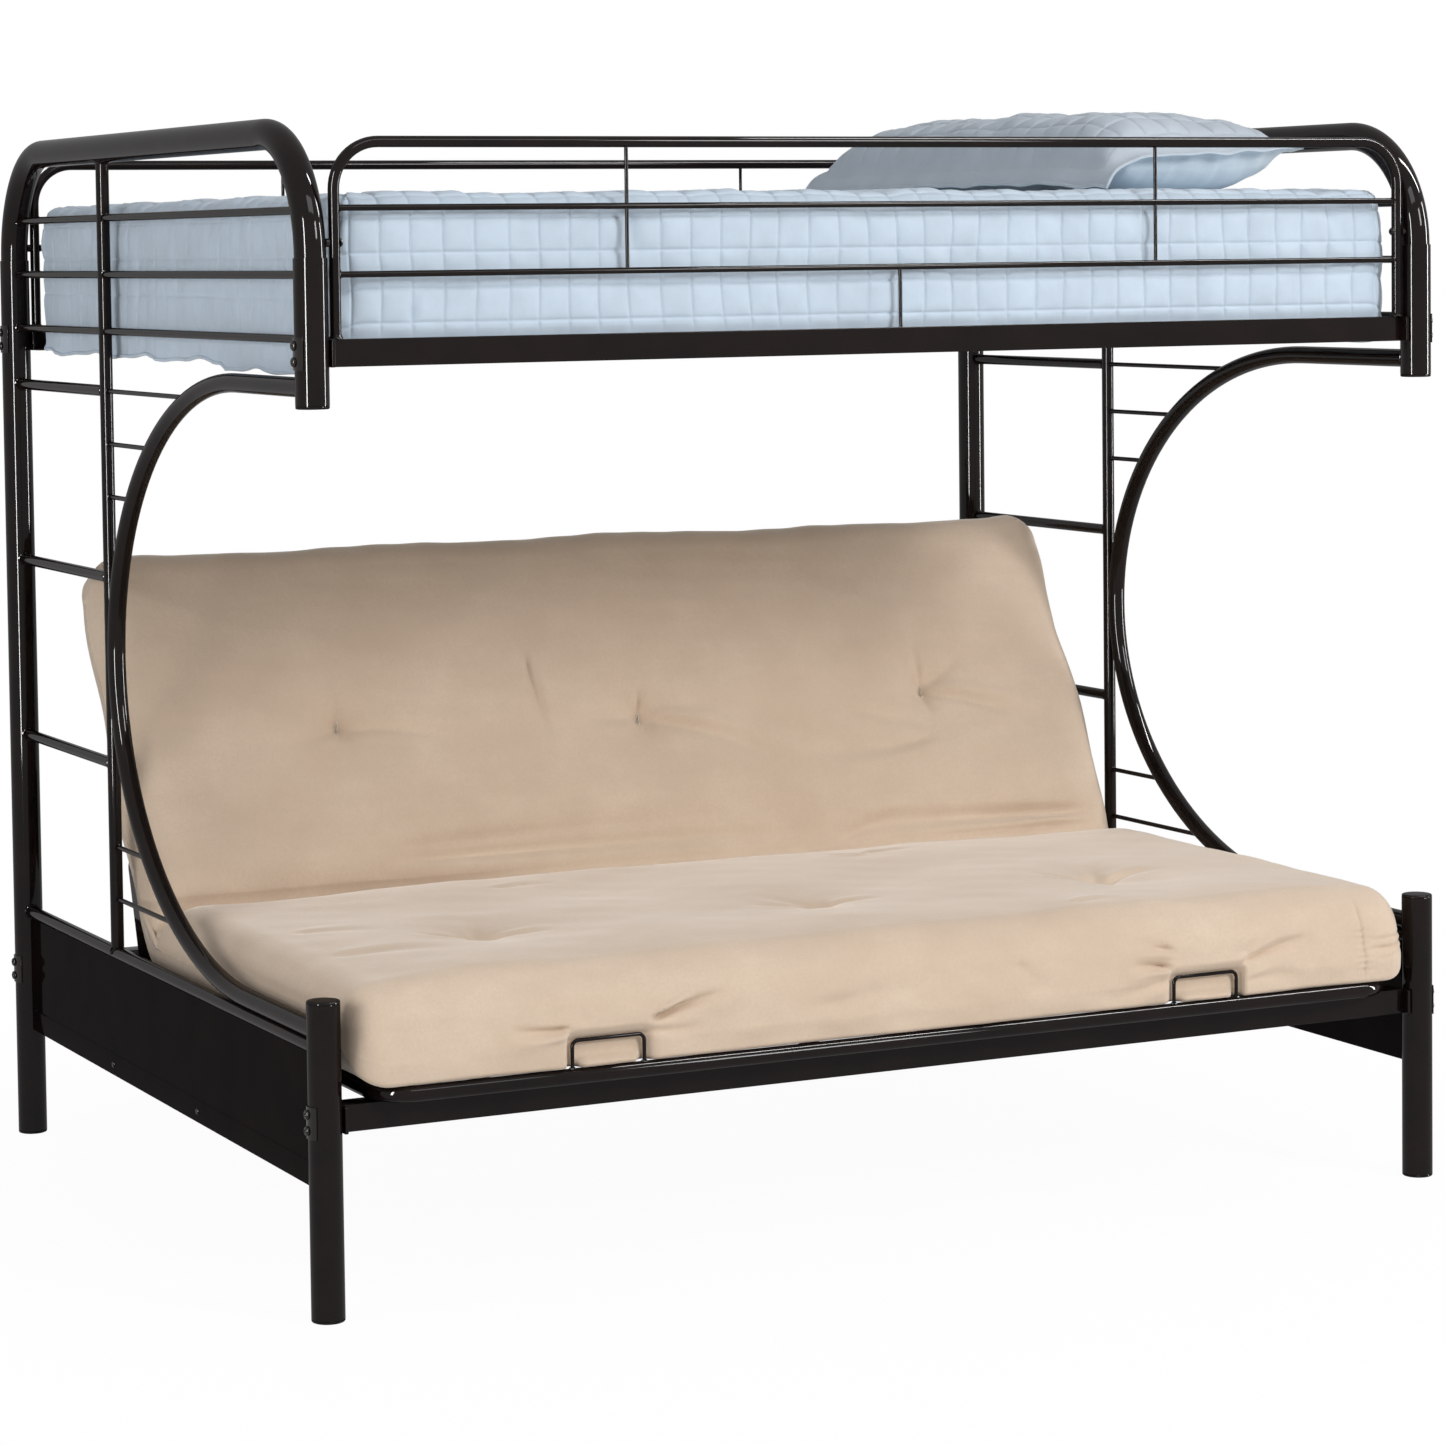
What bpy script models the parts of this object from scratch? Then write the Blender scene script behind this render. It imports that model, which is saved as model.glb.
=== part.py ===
"""Metal loft bed: an upper bunk over a sofa whose back folds down to a bed.

Metres, +Z up, -Y is the open front. The origin is on the floor under the
middle of the bed. Left and right are as seen from the front.
"""

import math

import bmesh
import bpy
from mathutils import Matrix, Vector

# Main frame
SPAN_X = 1.960            # between the post axes, along the bed
SPAN_Y = 1.4955           # between the front and rear post axes
POST_R = 0.0254
POST_WALL = 0.0013
POST_SEAM_Z = 1.570       # where the bow enters the post
LOWER_POST_TOP = 0.479
STUB_BOTTOM = 1.3535      # underside of the short upper front posts
BOW_CLEARANCE = 0.0005
BOW_WALL = 0.0015
BOW_TOP_Z = 1.755         # axis of the bow's level run
BOW_INSERT = 0.050

# Fits
GAP = 0.0003              # between pieces that touch
OVERRUN = 0.004           # how far a cutter passes what it cuts
WELD = 0.00001

# End frames
END_RAIL_R = 0.00635
END_RAIL_TOP_Z = 1.640
END_RAIL_PITCH = 0.0945
UPRIGHT_R = 0.011
LADDER_W = 0.5187         # rear post axis to upright axis
RUNG_R = 0.0095
RUNG_ZS = (1.351, 1.038, 0.7237)
C_R = 0.015
C_WALL = 0.002
C_TOP_Z = 1.380
C_RUN = 0.3305            # straight stretch behind the front post's axis
C_ROD_R = 0.004
C_ROD_ZS = (1.351, 1.2625, 1.174, 0.584, 0.4955)
PANEL_RAIL_R = 0.011
PANEL_RAIL_Z = 0.403
PANEL_T = 0.002
PANEL_BOTTOM = 0.190
PANEL_HEM = 0.036
PANEL_HEM_T = 0.002

# Side rails
RAIL_LEG = 0.041
RAIL_T = 0.003
UPPER_RAIL_BOTTOM = 1.410
LOWER_RAIL_TOP = 0.3197
RAIL_PLATE_T = 0.005
RAIL_PLATE_W = 0.034
SLAT_COUNT = 12
SLAT_W = 0.032
SLAT_T = 0.012
SLAT_MARGIN = 0.060       # from the end frames' axis to the first slat
SLAT_STRIP_W = 0.028      # strip under the slats' ends, on the rail's flange
SLAT_STRIP_T = 0.003
SLAT_SINK = 0.001         # how far welded bars sink into each other
BOLT_R = 0.004
BOLT_PITCH = 0.024
BOLT_HEAD_R = 0.0075
BOLT_HEAD_T = 0.0042
BOLT_SLACK = 0.0008
SADDLE_T = 0.002
SADDLE_TURN = math.radians(84)
SADDLE_END = 0.012        # plate past each bolt's axis

# Guards
HOOP_R = 0.0085
HOOP_TOP_Z = 1.748
HOOP_INSET = 0.038        # leg axis inside the post axis
HOOP_BEND_R = 0.070
GUARD_RAIL_R = 0.00475
GUARD_RAIL_TOP_Z = 1.6429
GUARD_RAIL_PITCH = 0.0976
PICKET_R = 0.003
PICKET_X = 0.470
GUARD_BOLT_Z = 1.592
GUARD_BOLT_R = 0.003
GUARD_BOLT_HEAD_R = 0.0065
GUARD_BOLT_HEAD_T = 0.004
GUARD_BOLT_BITE = 0.008   # how far the bolt reaches into the bow
SPACER_R = 0.0065

# Feet and caps
CAP_T = 0.004
CAP_EDGE = 0.0012
PLUG_L = 0.016
PLUG_CLEARANCE = 0.0012

# Folding sofa
SEAT_TUBE_R = 0.0125
SEAT_NOSE = 0.047         # seat front ahead of the front posts' axis
SEAT_FRAME_IN = 0.050     # frame's end tubes inside the tracks
SEAT_FRAME_BEND = 0.060
CREASE_TO_REAR = 0.617    # crease to the rear posts' axis
CREASE_Z = 0.490
SEAT_FRAME_BACK = 0.043   # seat frame's rear tube ahead of the crease
BACK_LEAN = math.radians(62)
BACK_FRAME_IN = 0.045
BACK_REST = 0.001         # lies this much higher than the seat when flat
BACK_START = 0.035
BACK_END = 0.600
DECK_BAR_W = 0.030
DECK_BAR_T = 0.004
DECK_BAR_PITCH = 0.185
DECK_STRAP_W = 0.024
DECK_STRAP_OUT = 0.200    # straps each side of the frame's middle
STOPPER_R = 0.003
STOPPER_X = 0.535
STOPPER_W = 0.120
STOPPER_RISE = 0.042
STOPPER_BEND = 0.010

# Back's arc track
TRACK_R = 0.200
TRACK_IN = 0.030          # track plate's middle inside the end panel
TRACK_T = 0.003
TRACK_BOTTOM = 0.192
TRACK_STEP = 0.034
TRACK_MID_TO_REAR = 0.7085
TRACK_HALF = 0.2565
SCREW_HALF = 0.2165       # screws each side of the track's middle
SCREW_UP = 0.016
SCREW_R = 0.0025
SCREW_HEAD_R = 0.005
SCREW_HEAD_T = 0.0022
STUD_R = 0.006
STUD_SLACK = 0.0008
STUD_HEAD_R = 0.0095
STUD_HEAD_T = 0.003
STUD_TURNS = (math.radians(-18), math.radians(-34))
ARM_T = 0.004
ARM_TAIL = 0.140
ARM_TIP = 0.016
ARM_ROUND = 0.010
SHELF_IN = 0.062
SHELF_T = 0.003
SHELF_L = 0.140
SHELF_END = 0.020

# Bedding
PAD_IN = 0.040            # pads' ends inside the post axes
PAD_TOP_Z = 0.497
PAD_FRONT = 0.0225        # seat pad's front behind the seat tube's front
PAD_CROWN = 0.012
PAD_DRAWN = 0.010
PAD_ROUND = 0.020
PAD_END_GAP = 0.001
BACK_PAD_L = 0.655
TUFT_X = 0.580
TUFT_REACH = 0.110
TUFT_DEPTH = 0.026
NEAR_SHARE = 0.9          # cage lines beside a tuft, as a share of its reach
SEAT_TUFT_BACK = 0.583    # tuft row ahead of the crease
BACK_TUFT_UP = 0.300      # tuft row above the crease, along the back
COVER_T = 0.006
COVER_IN = 0.029          # coverlet's ends inside the post axes
COVER_FRONT = 0.0155      # coverlet's front inside the front posts' axis
COVER_REAR = 0.0300
COVER_CORNER = 0.060
COVER_SHOULDER = 0.030
COVER_EASE = 0.002
MATTRESS_T = 0.2285
MATTRESS_ROUND = 0.058
HEM_SIDE_Z = 1.440
HEM_END_Z = 1.418
HEM_WAVE = 0.012
FOLD_DEPTH = 0.009
FOLD_PITCH = 0.260
FOLD_BEAT = 1.5           # second wave of folds for each of the first
PILLOW_TO_END = 0.288     # pillow's middle inside the right posts' axis
PILLOW_TO_REAR = 0.780
PILLOW_HALF_W = 0.222
PILLOW_HALF_L = 0.445
PILLOW_TURN = math.radians(7.5)
PILLOW_LOW_SEAM = 0.026
PILLOW_HIGH_SEAM = 0.066
PILLOW_CROWN = 0.100
PILLOW_FLANGE = 0.0025
PILLOW_REST_SHARE = 0.7   # fullness past which the underside lies flat

# Sides of round pieces
POST_SIDES = 14
TUBE_SIDES = 10
SLIM_SIDES = 8
THIN_SIDES = 6
C_STEPS = 16
BEND_STEPS = 5

# Places that follow from the sizes
HALF_X = SPAN_X / 2
REAR_Y = (SPAN_Y + SEAT_NOSE - POST_R) / 2
FRONT_Y = REAR_Y - SPAN_Y
POST_BORE = POST_R - POST_WALL
BOW_R = POST_BORE - BOW_CLEARANCE
BOW_BEND = BOW_TOP_Z - POST_SEAM_Z
UPRIGHT_Y = REAR_Y - LADDER_W
C_LOW_Z = PANEL_RAIL_Z + PANEL_RAIL_R + GAP + C_R
C_BACK_Y = UPRIGHT_Y - UPRIGHT_R - GAP - C_R
C_MID_Y = FRONT_Y + C_RUN
UPPER_RAIL_MID = UPPER_RAIL_BOTTOM + RAIL_LEG / 2
LOWER_RAIL_MID = LOWER_RAIL_TOP - RAIL_LEG / 2
HOOP_X = HALF_X - HOOP_INSET
CREASE_Y = REAR_Y - CREASE_TO_REAR
SEAT_Z = LOWER_RAIL_TOP + GAP + SEAT_TUBE_R
SEAT_FRONT_Y = FRONT_Y - SEAT_NOSE + SEAT_TUBE_R
SEAT_BACK_Y = CREASE_Y - SEAT_FRAME_BACK
BACK_DEPTH = CREASE_Z - SEAT_Z - BACK_REST
TRACK_X = HALF_X - TRACK_IN
SEAT_FRAME_HALF = TRACK_X - SEAT_FRAME_IN
BACK_FRAME_HALF = TRACK_X - BACK_FRAME_IN
TRACK_MID_Y = REAR_Y - TRACK_MID_TO_REAR
PAD_HALF = HALF_X - PAD_IN
COVER_HALF_X = HALF_X - COVER_IN
PILLOW_X = HALF_X - PILLOW_TO_END
SLAT_LOW = UPPER_RAIL_BOTTOM + RAIL_T + GAP + SLAT_STRIP_T - SLAT_SINK
MATTRESS_BOTTOM = SLAT_LOW + SLAT_T + GAP
COVER_TOP = MATTRESS_BOTTOM + MATTRESS_T + GAP + COVER_T

# Local X and Y stand for world Y and Z, and local Z for world X
FACING_X = Matrix(((0, 0, 1, 0), (1, 0, 0, 0), (0, 1, 0, 0), (0, 0, 0, 1)))
ENDS = (("left", -1), ("right", 1))
POST_SPOTS = (("rear", REAR_Y), ("front", FRONT_Y))


def clear_scene():
    for item in list(bpy.data.objects):
        bpy.data.objects.remove(item, do_unlink=True)


def new_collection(name):
    collection = bpy.data.collections.new(name)
    bpy.context.scene.collection.children.link(collection)
    return collection


def new_material(name, colour, roughness, metallic=0.0):
    material = bpy.data.materials.new(name)
    material.use_nodes = True
    shader = material.node_tree.nodes["Principled BSDF"]
    shader.inputs["Base Color"].default_value = (*colour, 1.0)
    shader.inputs["Roughness"].default_value = roughness
    shader.inputs["Metallic"].default_value = metallic
    return material


clear_scene()
PARTS = new_collection("loft_bed")
CUTTERS = new_collection("cutters")
PAINT = (0.018, 0.015, 0.014)


def add_part(name, mesh, colour=PAINT, roughness=0.22, metallic=0.0):
    """Puts a closed mesh in the bed's collection with its own material."""
    mesh.name = name
    return add_copy(name, finish_mesh(mesh, colour, roughness, metallic), Matrix.Identity(4))


def add_copy(name, mesh, matrix):
    """Another object on a mesh that already has its material."""
    part = bpy.data.objects.new(name, mesh)
    part.matrix_world = matrix
    PARTS.objects.link(part)
    return part


def finish_mesh(mesh, colour, roughness, metallic):
    mesh.materials.clear()
    mesh.materials.append(new_material(mesh.name, colour, roughness, metallic))
    mesh.shade_smooth()
    mesh.set_sharp_from_angle(angle=math.radians(38))
    return mesh


def add_cutter(name, mesh):
    cutter = bpy.data.objects.new(name, mesh)
    cutter.hide_render = True
    cutter.display_type = "WIRE"
    CUTTERS.objects.link(cutter)
    return cutter


def evaluated_mesh(holder, matrix):
    """Reads a holder object as the viewport shows it, then removes it."""
    bpy.context.scene.collection.objects.link(holder)
    holder.matrix_world = matrix
    depsgraph = bpy.context.evaluated_depsgraph_get()
    mesh = bpy.data.meshes.new_from_object(holder.evaluated_get(depsgraph))
    bpy.data.objects.remove(holder)
    shape = bmesh.new()
    shape.from_mesh(mesh)
    bmesh.ops.remove_doubles(shape, verts=shape.verts, dist=WELD)
    bmesh.ops.transform(shape, matrix=matrix, verts=shape.verts)
    bmesh.ops.recalc_face_normals(shape, faces=shape.faces)
    shape.to_mesh(mesh)
    shape.free()
    return mesh


def tube(name, paths, radius, sides, closed=False):
    """Round bar along each path of points."""
    curve = bpy.data.curves.new(name, "CURVE")
    curve.dimensions = "3D"
    curve.bevel_depth = radius
    curve.bevel_resolution = (sides - 4) // 2
    curve.use_fill_caps = not closed
    for path in paths:
        spline = curve.splines.new("POLY")
        spline.points.add(len(path) - 1)
        for point, place in zip(spline.points, path):
            point.co = (*place, 1.0)
        spline.use_cyclic_u = closed
    return evaluated_mesh(bpy.data.objects.new(name, curve), Matrix.Identity(4))


def plate(name, outline, thickness, matrix):
    """Flat outline given the thickness, half to each side."""
    curve = bpy.data.curves.new(name, "CURVE")
    curve.dimensions = "2D"
    curve.fill_mode = "BOTH"
    curve.extrude = thickness / 2
    spline = curve.splines.new("POLY")
    spline.points.add(len(outline) - 1)
    for point, place in zip(spline.points, outline):
        point.co = (*place, 0.0, 1.0)
    spline.use_cyclic_u = True
    return evaluated_mesh(bpy.data.objects.new(name, curve), matrix)


def box(name, low, high):
    mesh = bpy.data.meshes.new(name)
    shape = bmesh.new()
    bmesh.ops.create_cube(shape, size=1.0)
    low = Vector(low)
    high = Vector(high)
    bmesh.ops.scale(shape, vec=high - low, verts=shape.verts)
    bmesh.ops.translate(shape, vec=(low + high) / 2, verts=shape.verts)
    shape.to_mesh(mesh)
    shape.free()
    return mesh


def turned(name, profile, sides):
    """Profile of (radius, height) points, top first, spun about Z."""
    mesh = bpy.data.meshes.new(name)
    places = [(radius, 0.0, height) for radius, height in profile]
    edges = [(i, i + 1) for i in range(len(profile) - 1)]
    mesh.from_pydata(places, edges, [])
    holder = bpy.data.objects.new(name, mesh)
    screw = holder.modifiers.new("Spin", "SCREW")
    screw.steps = sides
    screw.render_steps = sides
    screw.use_merge_vertices = True
    screw.merge_threshold = WELD
    return evaluated_mesh(holder, Matrix.Identity(4))


def copies(name, mesh, matrices):
    """One mesh of separate solids, a copy of the mesh at each matrix."""
    shape = bmesh.new()
    for matrix in matrices:
        first = len(shape.verts)
        shape.from_mesh(mesh)
        shape.verts.ensure_lookup_table()
        bmesh.ops.transform(shape, matrix=matrix, verts=shape.verts[first:])
    group = bpy.data.meshes.new(name)
    shape.to_mesh(group)
    shape.free()
    return group


def combine(part, tool, operation="DIFFERENCE"):
    boolean = part.modifiers.new(tool.name, "BOOLEAN")
    boolean.operation = operation
    boolean.object = tool


def weld_on(part, name, mesh):
    """Joins a welded or riveted detail to the piece that carries it."""
    detail = add_cutter(f"{part.name}_{name}", mesh)
    combine(part, detail, "UNION")
    return detail


def hang(part, pivot):
    """Parents a moving piece to the empty on its joint's axis."""
    part.data.transform(Matrix.Translation(-pivot.location))
    part.parent = pivot


def looking(direction, place):
    """Matrix that points local Z along the direction, at the place."""
    turn = Vector(direction).to_track_quat("Z", "Y").to_matrix().to_4x4()
    return Matrix.Translation(place) @ turn


def arc(centre, radius, start, end, steps):
    """Points (u, v) on an arc, both ends included."""
    turns = [start + (end - start) * i / steps for i in range(steps + 1)]
    return [(centre[0] + radius * math.cos(t), centre[1] + radius * math.sin(t)) for t in turns]


def rounded(corners, radius, steps):
    """The outline with each corner rounded off, its points still in order."""
    points = []
    count = len(corners)
    for i, corner in enumerate(corners):
        here = Vector(corner)
        before = (Vector(corners[i - 1]) - here).normalized()
        after = (Vector(corners[(i + 1) % count]) - here).normalized()
        half = before.angle(after) / 2
        centre = here + (before + after).normalized() * radius / math.sin(half)
        spokes = [here + way * radius / math.tan(half) - centre for way in (before, after)]
        for k in range(steps + 1):
            share = k / steps
            spoke = (spokes[0] * (1 - share) + spokes[1] * share).normalized() * radius
            points.append(tuple(centre + spoke))
    return points


def grown(radius):
    return radius + GAP


def post_skin(name, side, y, low, high):
    """Solid a little larger than a post, to cope what meets it."""
    path = [(side * HALF_X, y, low - OVERRUN), (side * HALF_X, y, high)]
    return add_cutter(name, tube(name, [path], grown(POST_R), POST_SIDES))


def bow_path(side, tail):
    """Up the rear post, over the end of the bed and down to the front."""
    bend_z = POST_SEAM_Z
    rear = arc((REAR_Y - BOW_BEND, bend_z), BOW_BEND, 0, math.pi / 2, BEND_STEPS)
    front = arc((FRONT_Y + BOW_BEND, bend_z), BOW_BEND, math.pi / 2, math.pi, BEND_STEPS)
    points = [(REAR_Y, bend_z - tail)] + rear + front + [(FRONT_Y, bend_z - tail)]
    return [(side * HALF_X, y, z) for y, z in points]


def c_path(side, overrun=0.0):
    """Back from the front post, round a half ellipse, and forward again."""
    half_height = (C_TOP_Z - C_LOW_Z) / 2
    depth = C_BACK_Y - C_MID_Y
    middle = (C_TOP_Z + C_LOW_Z) / 2
    turns = [math.pi / 2 - math.pi * i / C_STEPS for i in range(C_STEPS + 1)]
    curve = [(C_MID_Y + depth * math.cos(t), middle + half_height * math.sin(t)) for t in turns]
    points = [(FRONT_Y - overrun, C_TOP_Z)] + curve + [(FRONT_Y - overrun, C_LOW_Z)]
    return [(side * HALF_X, y, z) for y, z in points]


def hoop_path(y):
    top = HOOP_TOP_Z - HOOP_R
    bend_z = top - HOOP_BEND_R
    left = arc((-HOOP_X + HOOP_BEND_R, bend_z), HOOP_BEND_R, math.pi, math.pi / 2, BEND_STEPS)
    right = arc((HOOP_X - HOOP_BEND_R, bend_z), HOOP_BEND_R, math.pi / 2, 0, BEND_STEPS)
    foot = UPPER_RAIL_BOTTOM + RAIL_LEG + GAP
    points = [(-HOOP_X, foot)] + left + right + [(HOOP_X, foot)]
    return [(x, y, z) for x, z in points]


def loop_path(half, low, high, bend):
    """Rectangle with round corners, as (x, v) points."""
    corners = (
        ((half - bend, low + bend), -math.pi / 2),
        ((half - bend, high - bend), 0.0),
        ((bend - half, high - bend), math.pi / 2),
        ((bend - half, low + bend), math.pi),
    )
    points = []
    for centre, start in corners:
        points += arc(centre, bend, start, start + math.pi / 2, 3)
    return points


def bolt_places():
    """Every rail bolt: side, post axis y and height."""
    for _, side in ENDS:
        for _, y in POST_SPOTS:
            for middle in (UPPER_RAIL_MID, LOWER_RAIL_MID):
                for offset in (-BOLT_PITCH / 2, BOLT_PITCH / 2):
                    yield side, y, middle + offset


def back_point(along, depth):
    """World (y, z) of a point on the back: up it, and behind its face."""
    lean = Vector((math.cos(BACK_LEAN), math.sin(BACK_LEAN)))
    behind = Vector((math.sin(BACK_LEAN), -math.cos(BACK_LEAN)))
    return Vector((CREASE_Y, CREASE_Z)) + lean * along + behind * depth


def back_matrix():
    """Local X is the bed's X, Y runs up the back and Z stands off its face."""
    return Matrix.Translation((0.0, CREASE_Y, CREASE_Z)) @ Matrix.Rotation(BACK_LEAN, 4, "X")


def rail_bolt_cutter():
    """Clearance holes for all the rail bolts, right through the posts."""
    inner = POST_R + GAP + RAIL_PLATE_T + BOLT_SLACK
    outer = POST_R + OVERRUN
    paths = []
    for side, y, z in bolt_places():
        paths.append([(side * (HALF_X - inner), y, z), (side * (HALF_X + outer), y, z)])
    mesh = tube("bolt_holes", paths, BOLT_R + BOLT_SLACK, THIN_SIDES)
    return add_cutter("bolt_holes", mesh)


def make_posts(bolt_holes):
    for end, side in ENDS:
        spans = (
            (f"rear_post_{end}", REAR_Y, CAP_T + GAP, POST_SEAM_Z),
            (f"front_upper_post_{end}", FRONT_Y, STUB_BOTTOM, POST_SEAM_Z),
            (f"front_lower_post_{end}", FRONT_Y, CAP_T + GAP, LOWER_POST_TOP - CAP_T - GAP),
        )
        for name, y, low, high in spans:
            x = side * HALF_X
            wall = tube(name, [[(x, y, low), (x, y, high)]], POST_R, POST_SIDES)
            post = add_part(name, wall)
            path = [(x, y, low - OVERRUN), (x, y, high + OVERRUN)]
            bore = tube(name + "_bore", [path], POST_BORE, POST_SIDES)
            combine(post, add_cutter(name + "_bore", bore))
            combine(post, bolt_holes)


def guard_bolt_cutter():
    """Holes for the guard bolts, through the hoop legs into the bows."""
    paths = []
    for _, side in ENDS:
        for _, y in POST_SPOTS:
            start = side * (HOOP_X - HOOP_R - OVERRUN)
            end = side * (HALF_X - BOW_R + GUARD_BOLT_BITE + OVERRUN)
            paths.append([(start, y, GUARD_BOLT_Z), (end, y, GUARD_BOLT_Z)])
    mesh = tube("guard_bolt_holes", paths, GUARD_BOLT_R + BOLT_SLACK, THIN_SIDES)
    return add_cutter("guard_bolt_holes", mesh)


def make_bows(guard_holes):
    skins = {}
    for end, side in ENDS:
        name = f"top_bow_{end}"
        path = bow_path(side, BOW_INSERT)
        bow = add_part(name, tube(name, [path], BOW_R, POST_SIDES))
        bore = tube(name + "_bore", [bow_path(side, BOW_INSERT + OVERRUN)], BOW_R - BOW_WALL, TUBE_SIDES)
        combine(bow, add_cutter(name + "_bore", bore))
        combine(bow, guard_holes)
        skin = tube(name + "_skin", [path], grown(BOW_R), POST_SIDES)
        skins[end] = add_cutter(name + "_skin", skin)
    return skins


def make_end_frames(bow_skins):
    for end, side in ENDS:
        x = side * HALF_X
        rear_skin = post_skin(f"rear_skin_{end}", side, REAR_Y, 0.0, POST_SEAM_Z)
        stub_skin = post_skin(f"stub_skin_{end}", side, FRONT_Y, STUB_BOTTOM, POST_SEAM_Z)
        lower_skin = post_skin(f"lower_skin_{end}", side, FRONT_Y, 0.0, LOWER_POST_TOP)
        bow_skin = bow_skins[end]

        name = f"c_tube_{end}"
        c_tube = add_part(name, tube(name, [c_path(side)], C_R, TUBE_SIDES))
        bore = tube(name + "_bore", [c_path(side, OVERRUN)], C_R - C_WALL, SLIM_SIDES)
        c_skin = tube(name + "_skin", [c_path(side)], grown(C_R), TUBE_SIDES)
        c_skin = add_cutter(name + "_skin", c_skin)
        combine(c_tube, add_cutter(name + "_bore", bore))
        combine(c_tube, stub_skin)
        combine(c_tube, lower_skin)

        name = f"panel_top_rail_{end}"
        path = [(x, FRONT_Y, PANEL_RAIL_Z), (x, REAR_Y, PANEL_RAIL_Z)]
        panel_rail = add_part(name, tube(name, [path], PANEL_RAIL_R, TUBE_SIDES))
        combine(panel_rail, rear_skin)
        combine(panel_rail, lower_skin)
        rail_skin = tube(name + "_skin", [path], grown(PANEL_RAIL_R), TUBE_SIDES)
        rail_skin = add_cutter(name + "_skin", rail_skin)

        name = f"end_ladder_{end}"
        path = [(x, UPRIGHT_Y, PANEL_RAIL_Z), (x, UPRIGHT_Y, BOW_TOP_Z)]
        ladder = add_part(name, tube(name, [path], UPRIGHT_R, TUBE_SIDES))
        weld_on(ladder, "rails", tube(name, end_rail_paths(x), END_RAIL_R, SLIM_SIDES))
        paths = [[(x, UPRIGHT_Y, z), (x, REAR_Y, z)] for z in RUNG_ZS]
        weld_on(ladder, "rungs", tube(name, paths, RUNG_R, TUBE_SIDES))
        rods = weld_on(ladder, "rods", tube(name, c_rod_paths(x), C_ROD_R, THIN_SIDES))
        combine(rods, c_skin)
        for skin in (bow_skin, rear_skin, stub_skin, rail_skin):
            combine(ladder, skin)


def end_rail_paths(x):
    """Rails from post to post, or to the bow where they meet its bend."""
    paths = []
    for i in range(3):
        z = END_RAIL_TOP_Z - END_RAIL_PITCH * i
        rise = max(z - POST_SEAM_Z, 0.0)
        inset = BOW_BEND - math.sqrt(BOW_BEND ** 2 - rise ** 2)
        paths.append([(x, FRONT_Y + inset, z), (x, REAR_Y - inset, z)])
    return paths


def c_rod_paths(x):
    """Thin rods from the upright to the C tube's curve."""
    half_height = (C_TOP_Z - C_LOW_Z) / 2
    middle = (C_TOP_Z + C_LOW_Z) / 2
    paths = []
    for z in C_ROD_ZS:
        share = math.sqrt(1 - ((z - middle) / half_height) ** 2)
        y = C_MID_Y + (C_BACK_Y - C_MID_Y) * share
        paths.append([(x, y, z), (x, UPRIGHT_Y, z)])
    return paths


def make_panels(screw_holes):
    """Sheet under the panel rail, with a doubled hem along its lower edge."""
    top = PANEL_RAIL_Z - PANEL_RAIL_R - GAP
    hem_top = PANEL_BOTTOM + PANEL_HEM
    face = PANEL_T / 2
    lip = face + PANEL_HEM_T
    low_y = FRONT_Y + POST_R + GAP
    high_y = REAR_Y - POST_R - GAP
    outline = (
        (-face, PANEL_BOTTOM), (lip, PANEL_BOTTOM), (lip, hem_top - PANEL_HEM_T),
        (face, hem_top), (face, top), (-face, top),
    )
    for end, side in ENDS:
        name = f"end_panel_{end}"
        across = [(side * u, z) for u, z in outline]
        turn = Matrix(((1, 0, 0, 0), (0, 0, -1, 0), (0, 1, 0, 0), (0, 0, 0, 1)))
        place = Matrix.Translation((side * HALF_X, (low_y + high_y) / 2, 0.0)) @ turn
        panel = add_part(name, plate(name, across, high_y - low_y, place))
        combine(panel, screw_holes)


def slot_outline(first, last, half_width):
    """Arc slot with round ends about the crease, in (y, z)."""
    middle = (CREASE_Y, CREASE_Z)
    outer = arc(middle, TRACK_R + half_width, first, last, 12)
    inner = arc(middle, TRACK_R - half_width, last, first, 12)
    end = arc(middle, TRACK_R, last, last, 1)[0]
    start = arc(middle, TRACK_R, first, first, 1)[0]
    turn = math.pi if last > first else -math.pi
    end_cap = arc(end, half_width, last, last + turn, 4)[1:-1]
    start_cap = arc(start, half_width, first + math.pi, first + math.pi + turn, 4)[1:-1]
    return outer + end_cap + inner + start_cap


def stud_turns(fold):
    """Angles of the studs about the crease once the back folds by this much."""
    straight_down = BACK_LEAN - math.pi / 2
    return [straight_down + turn - fold for turn in STUD_TURNS]


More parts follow.
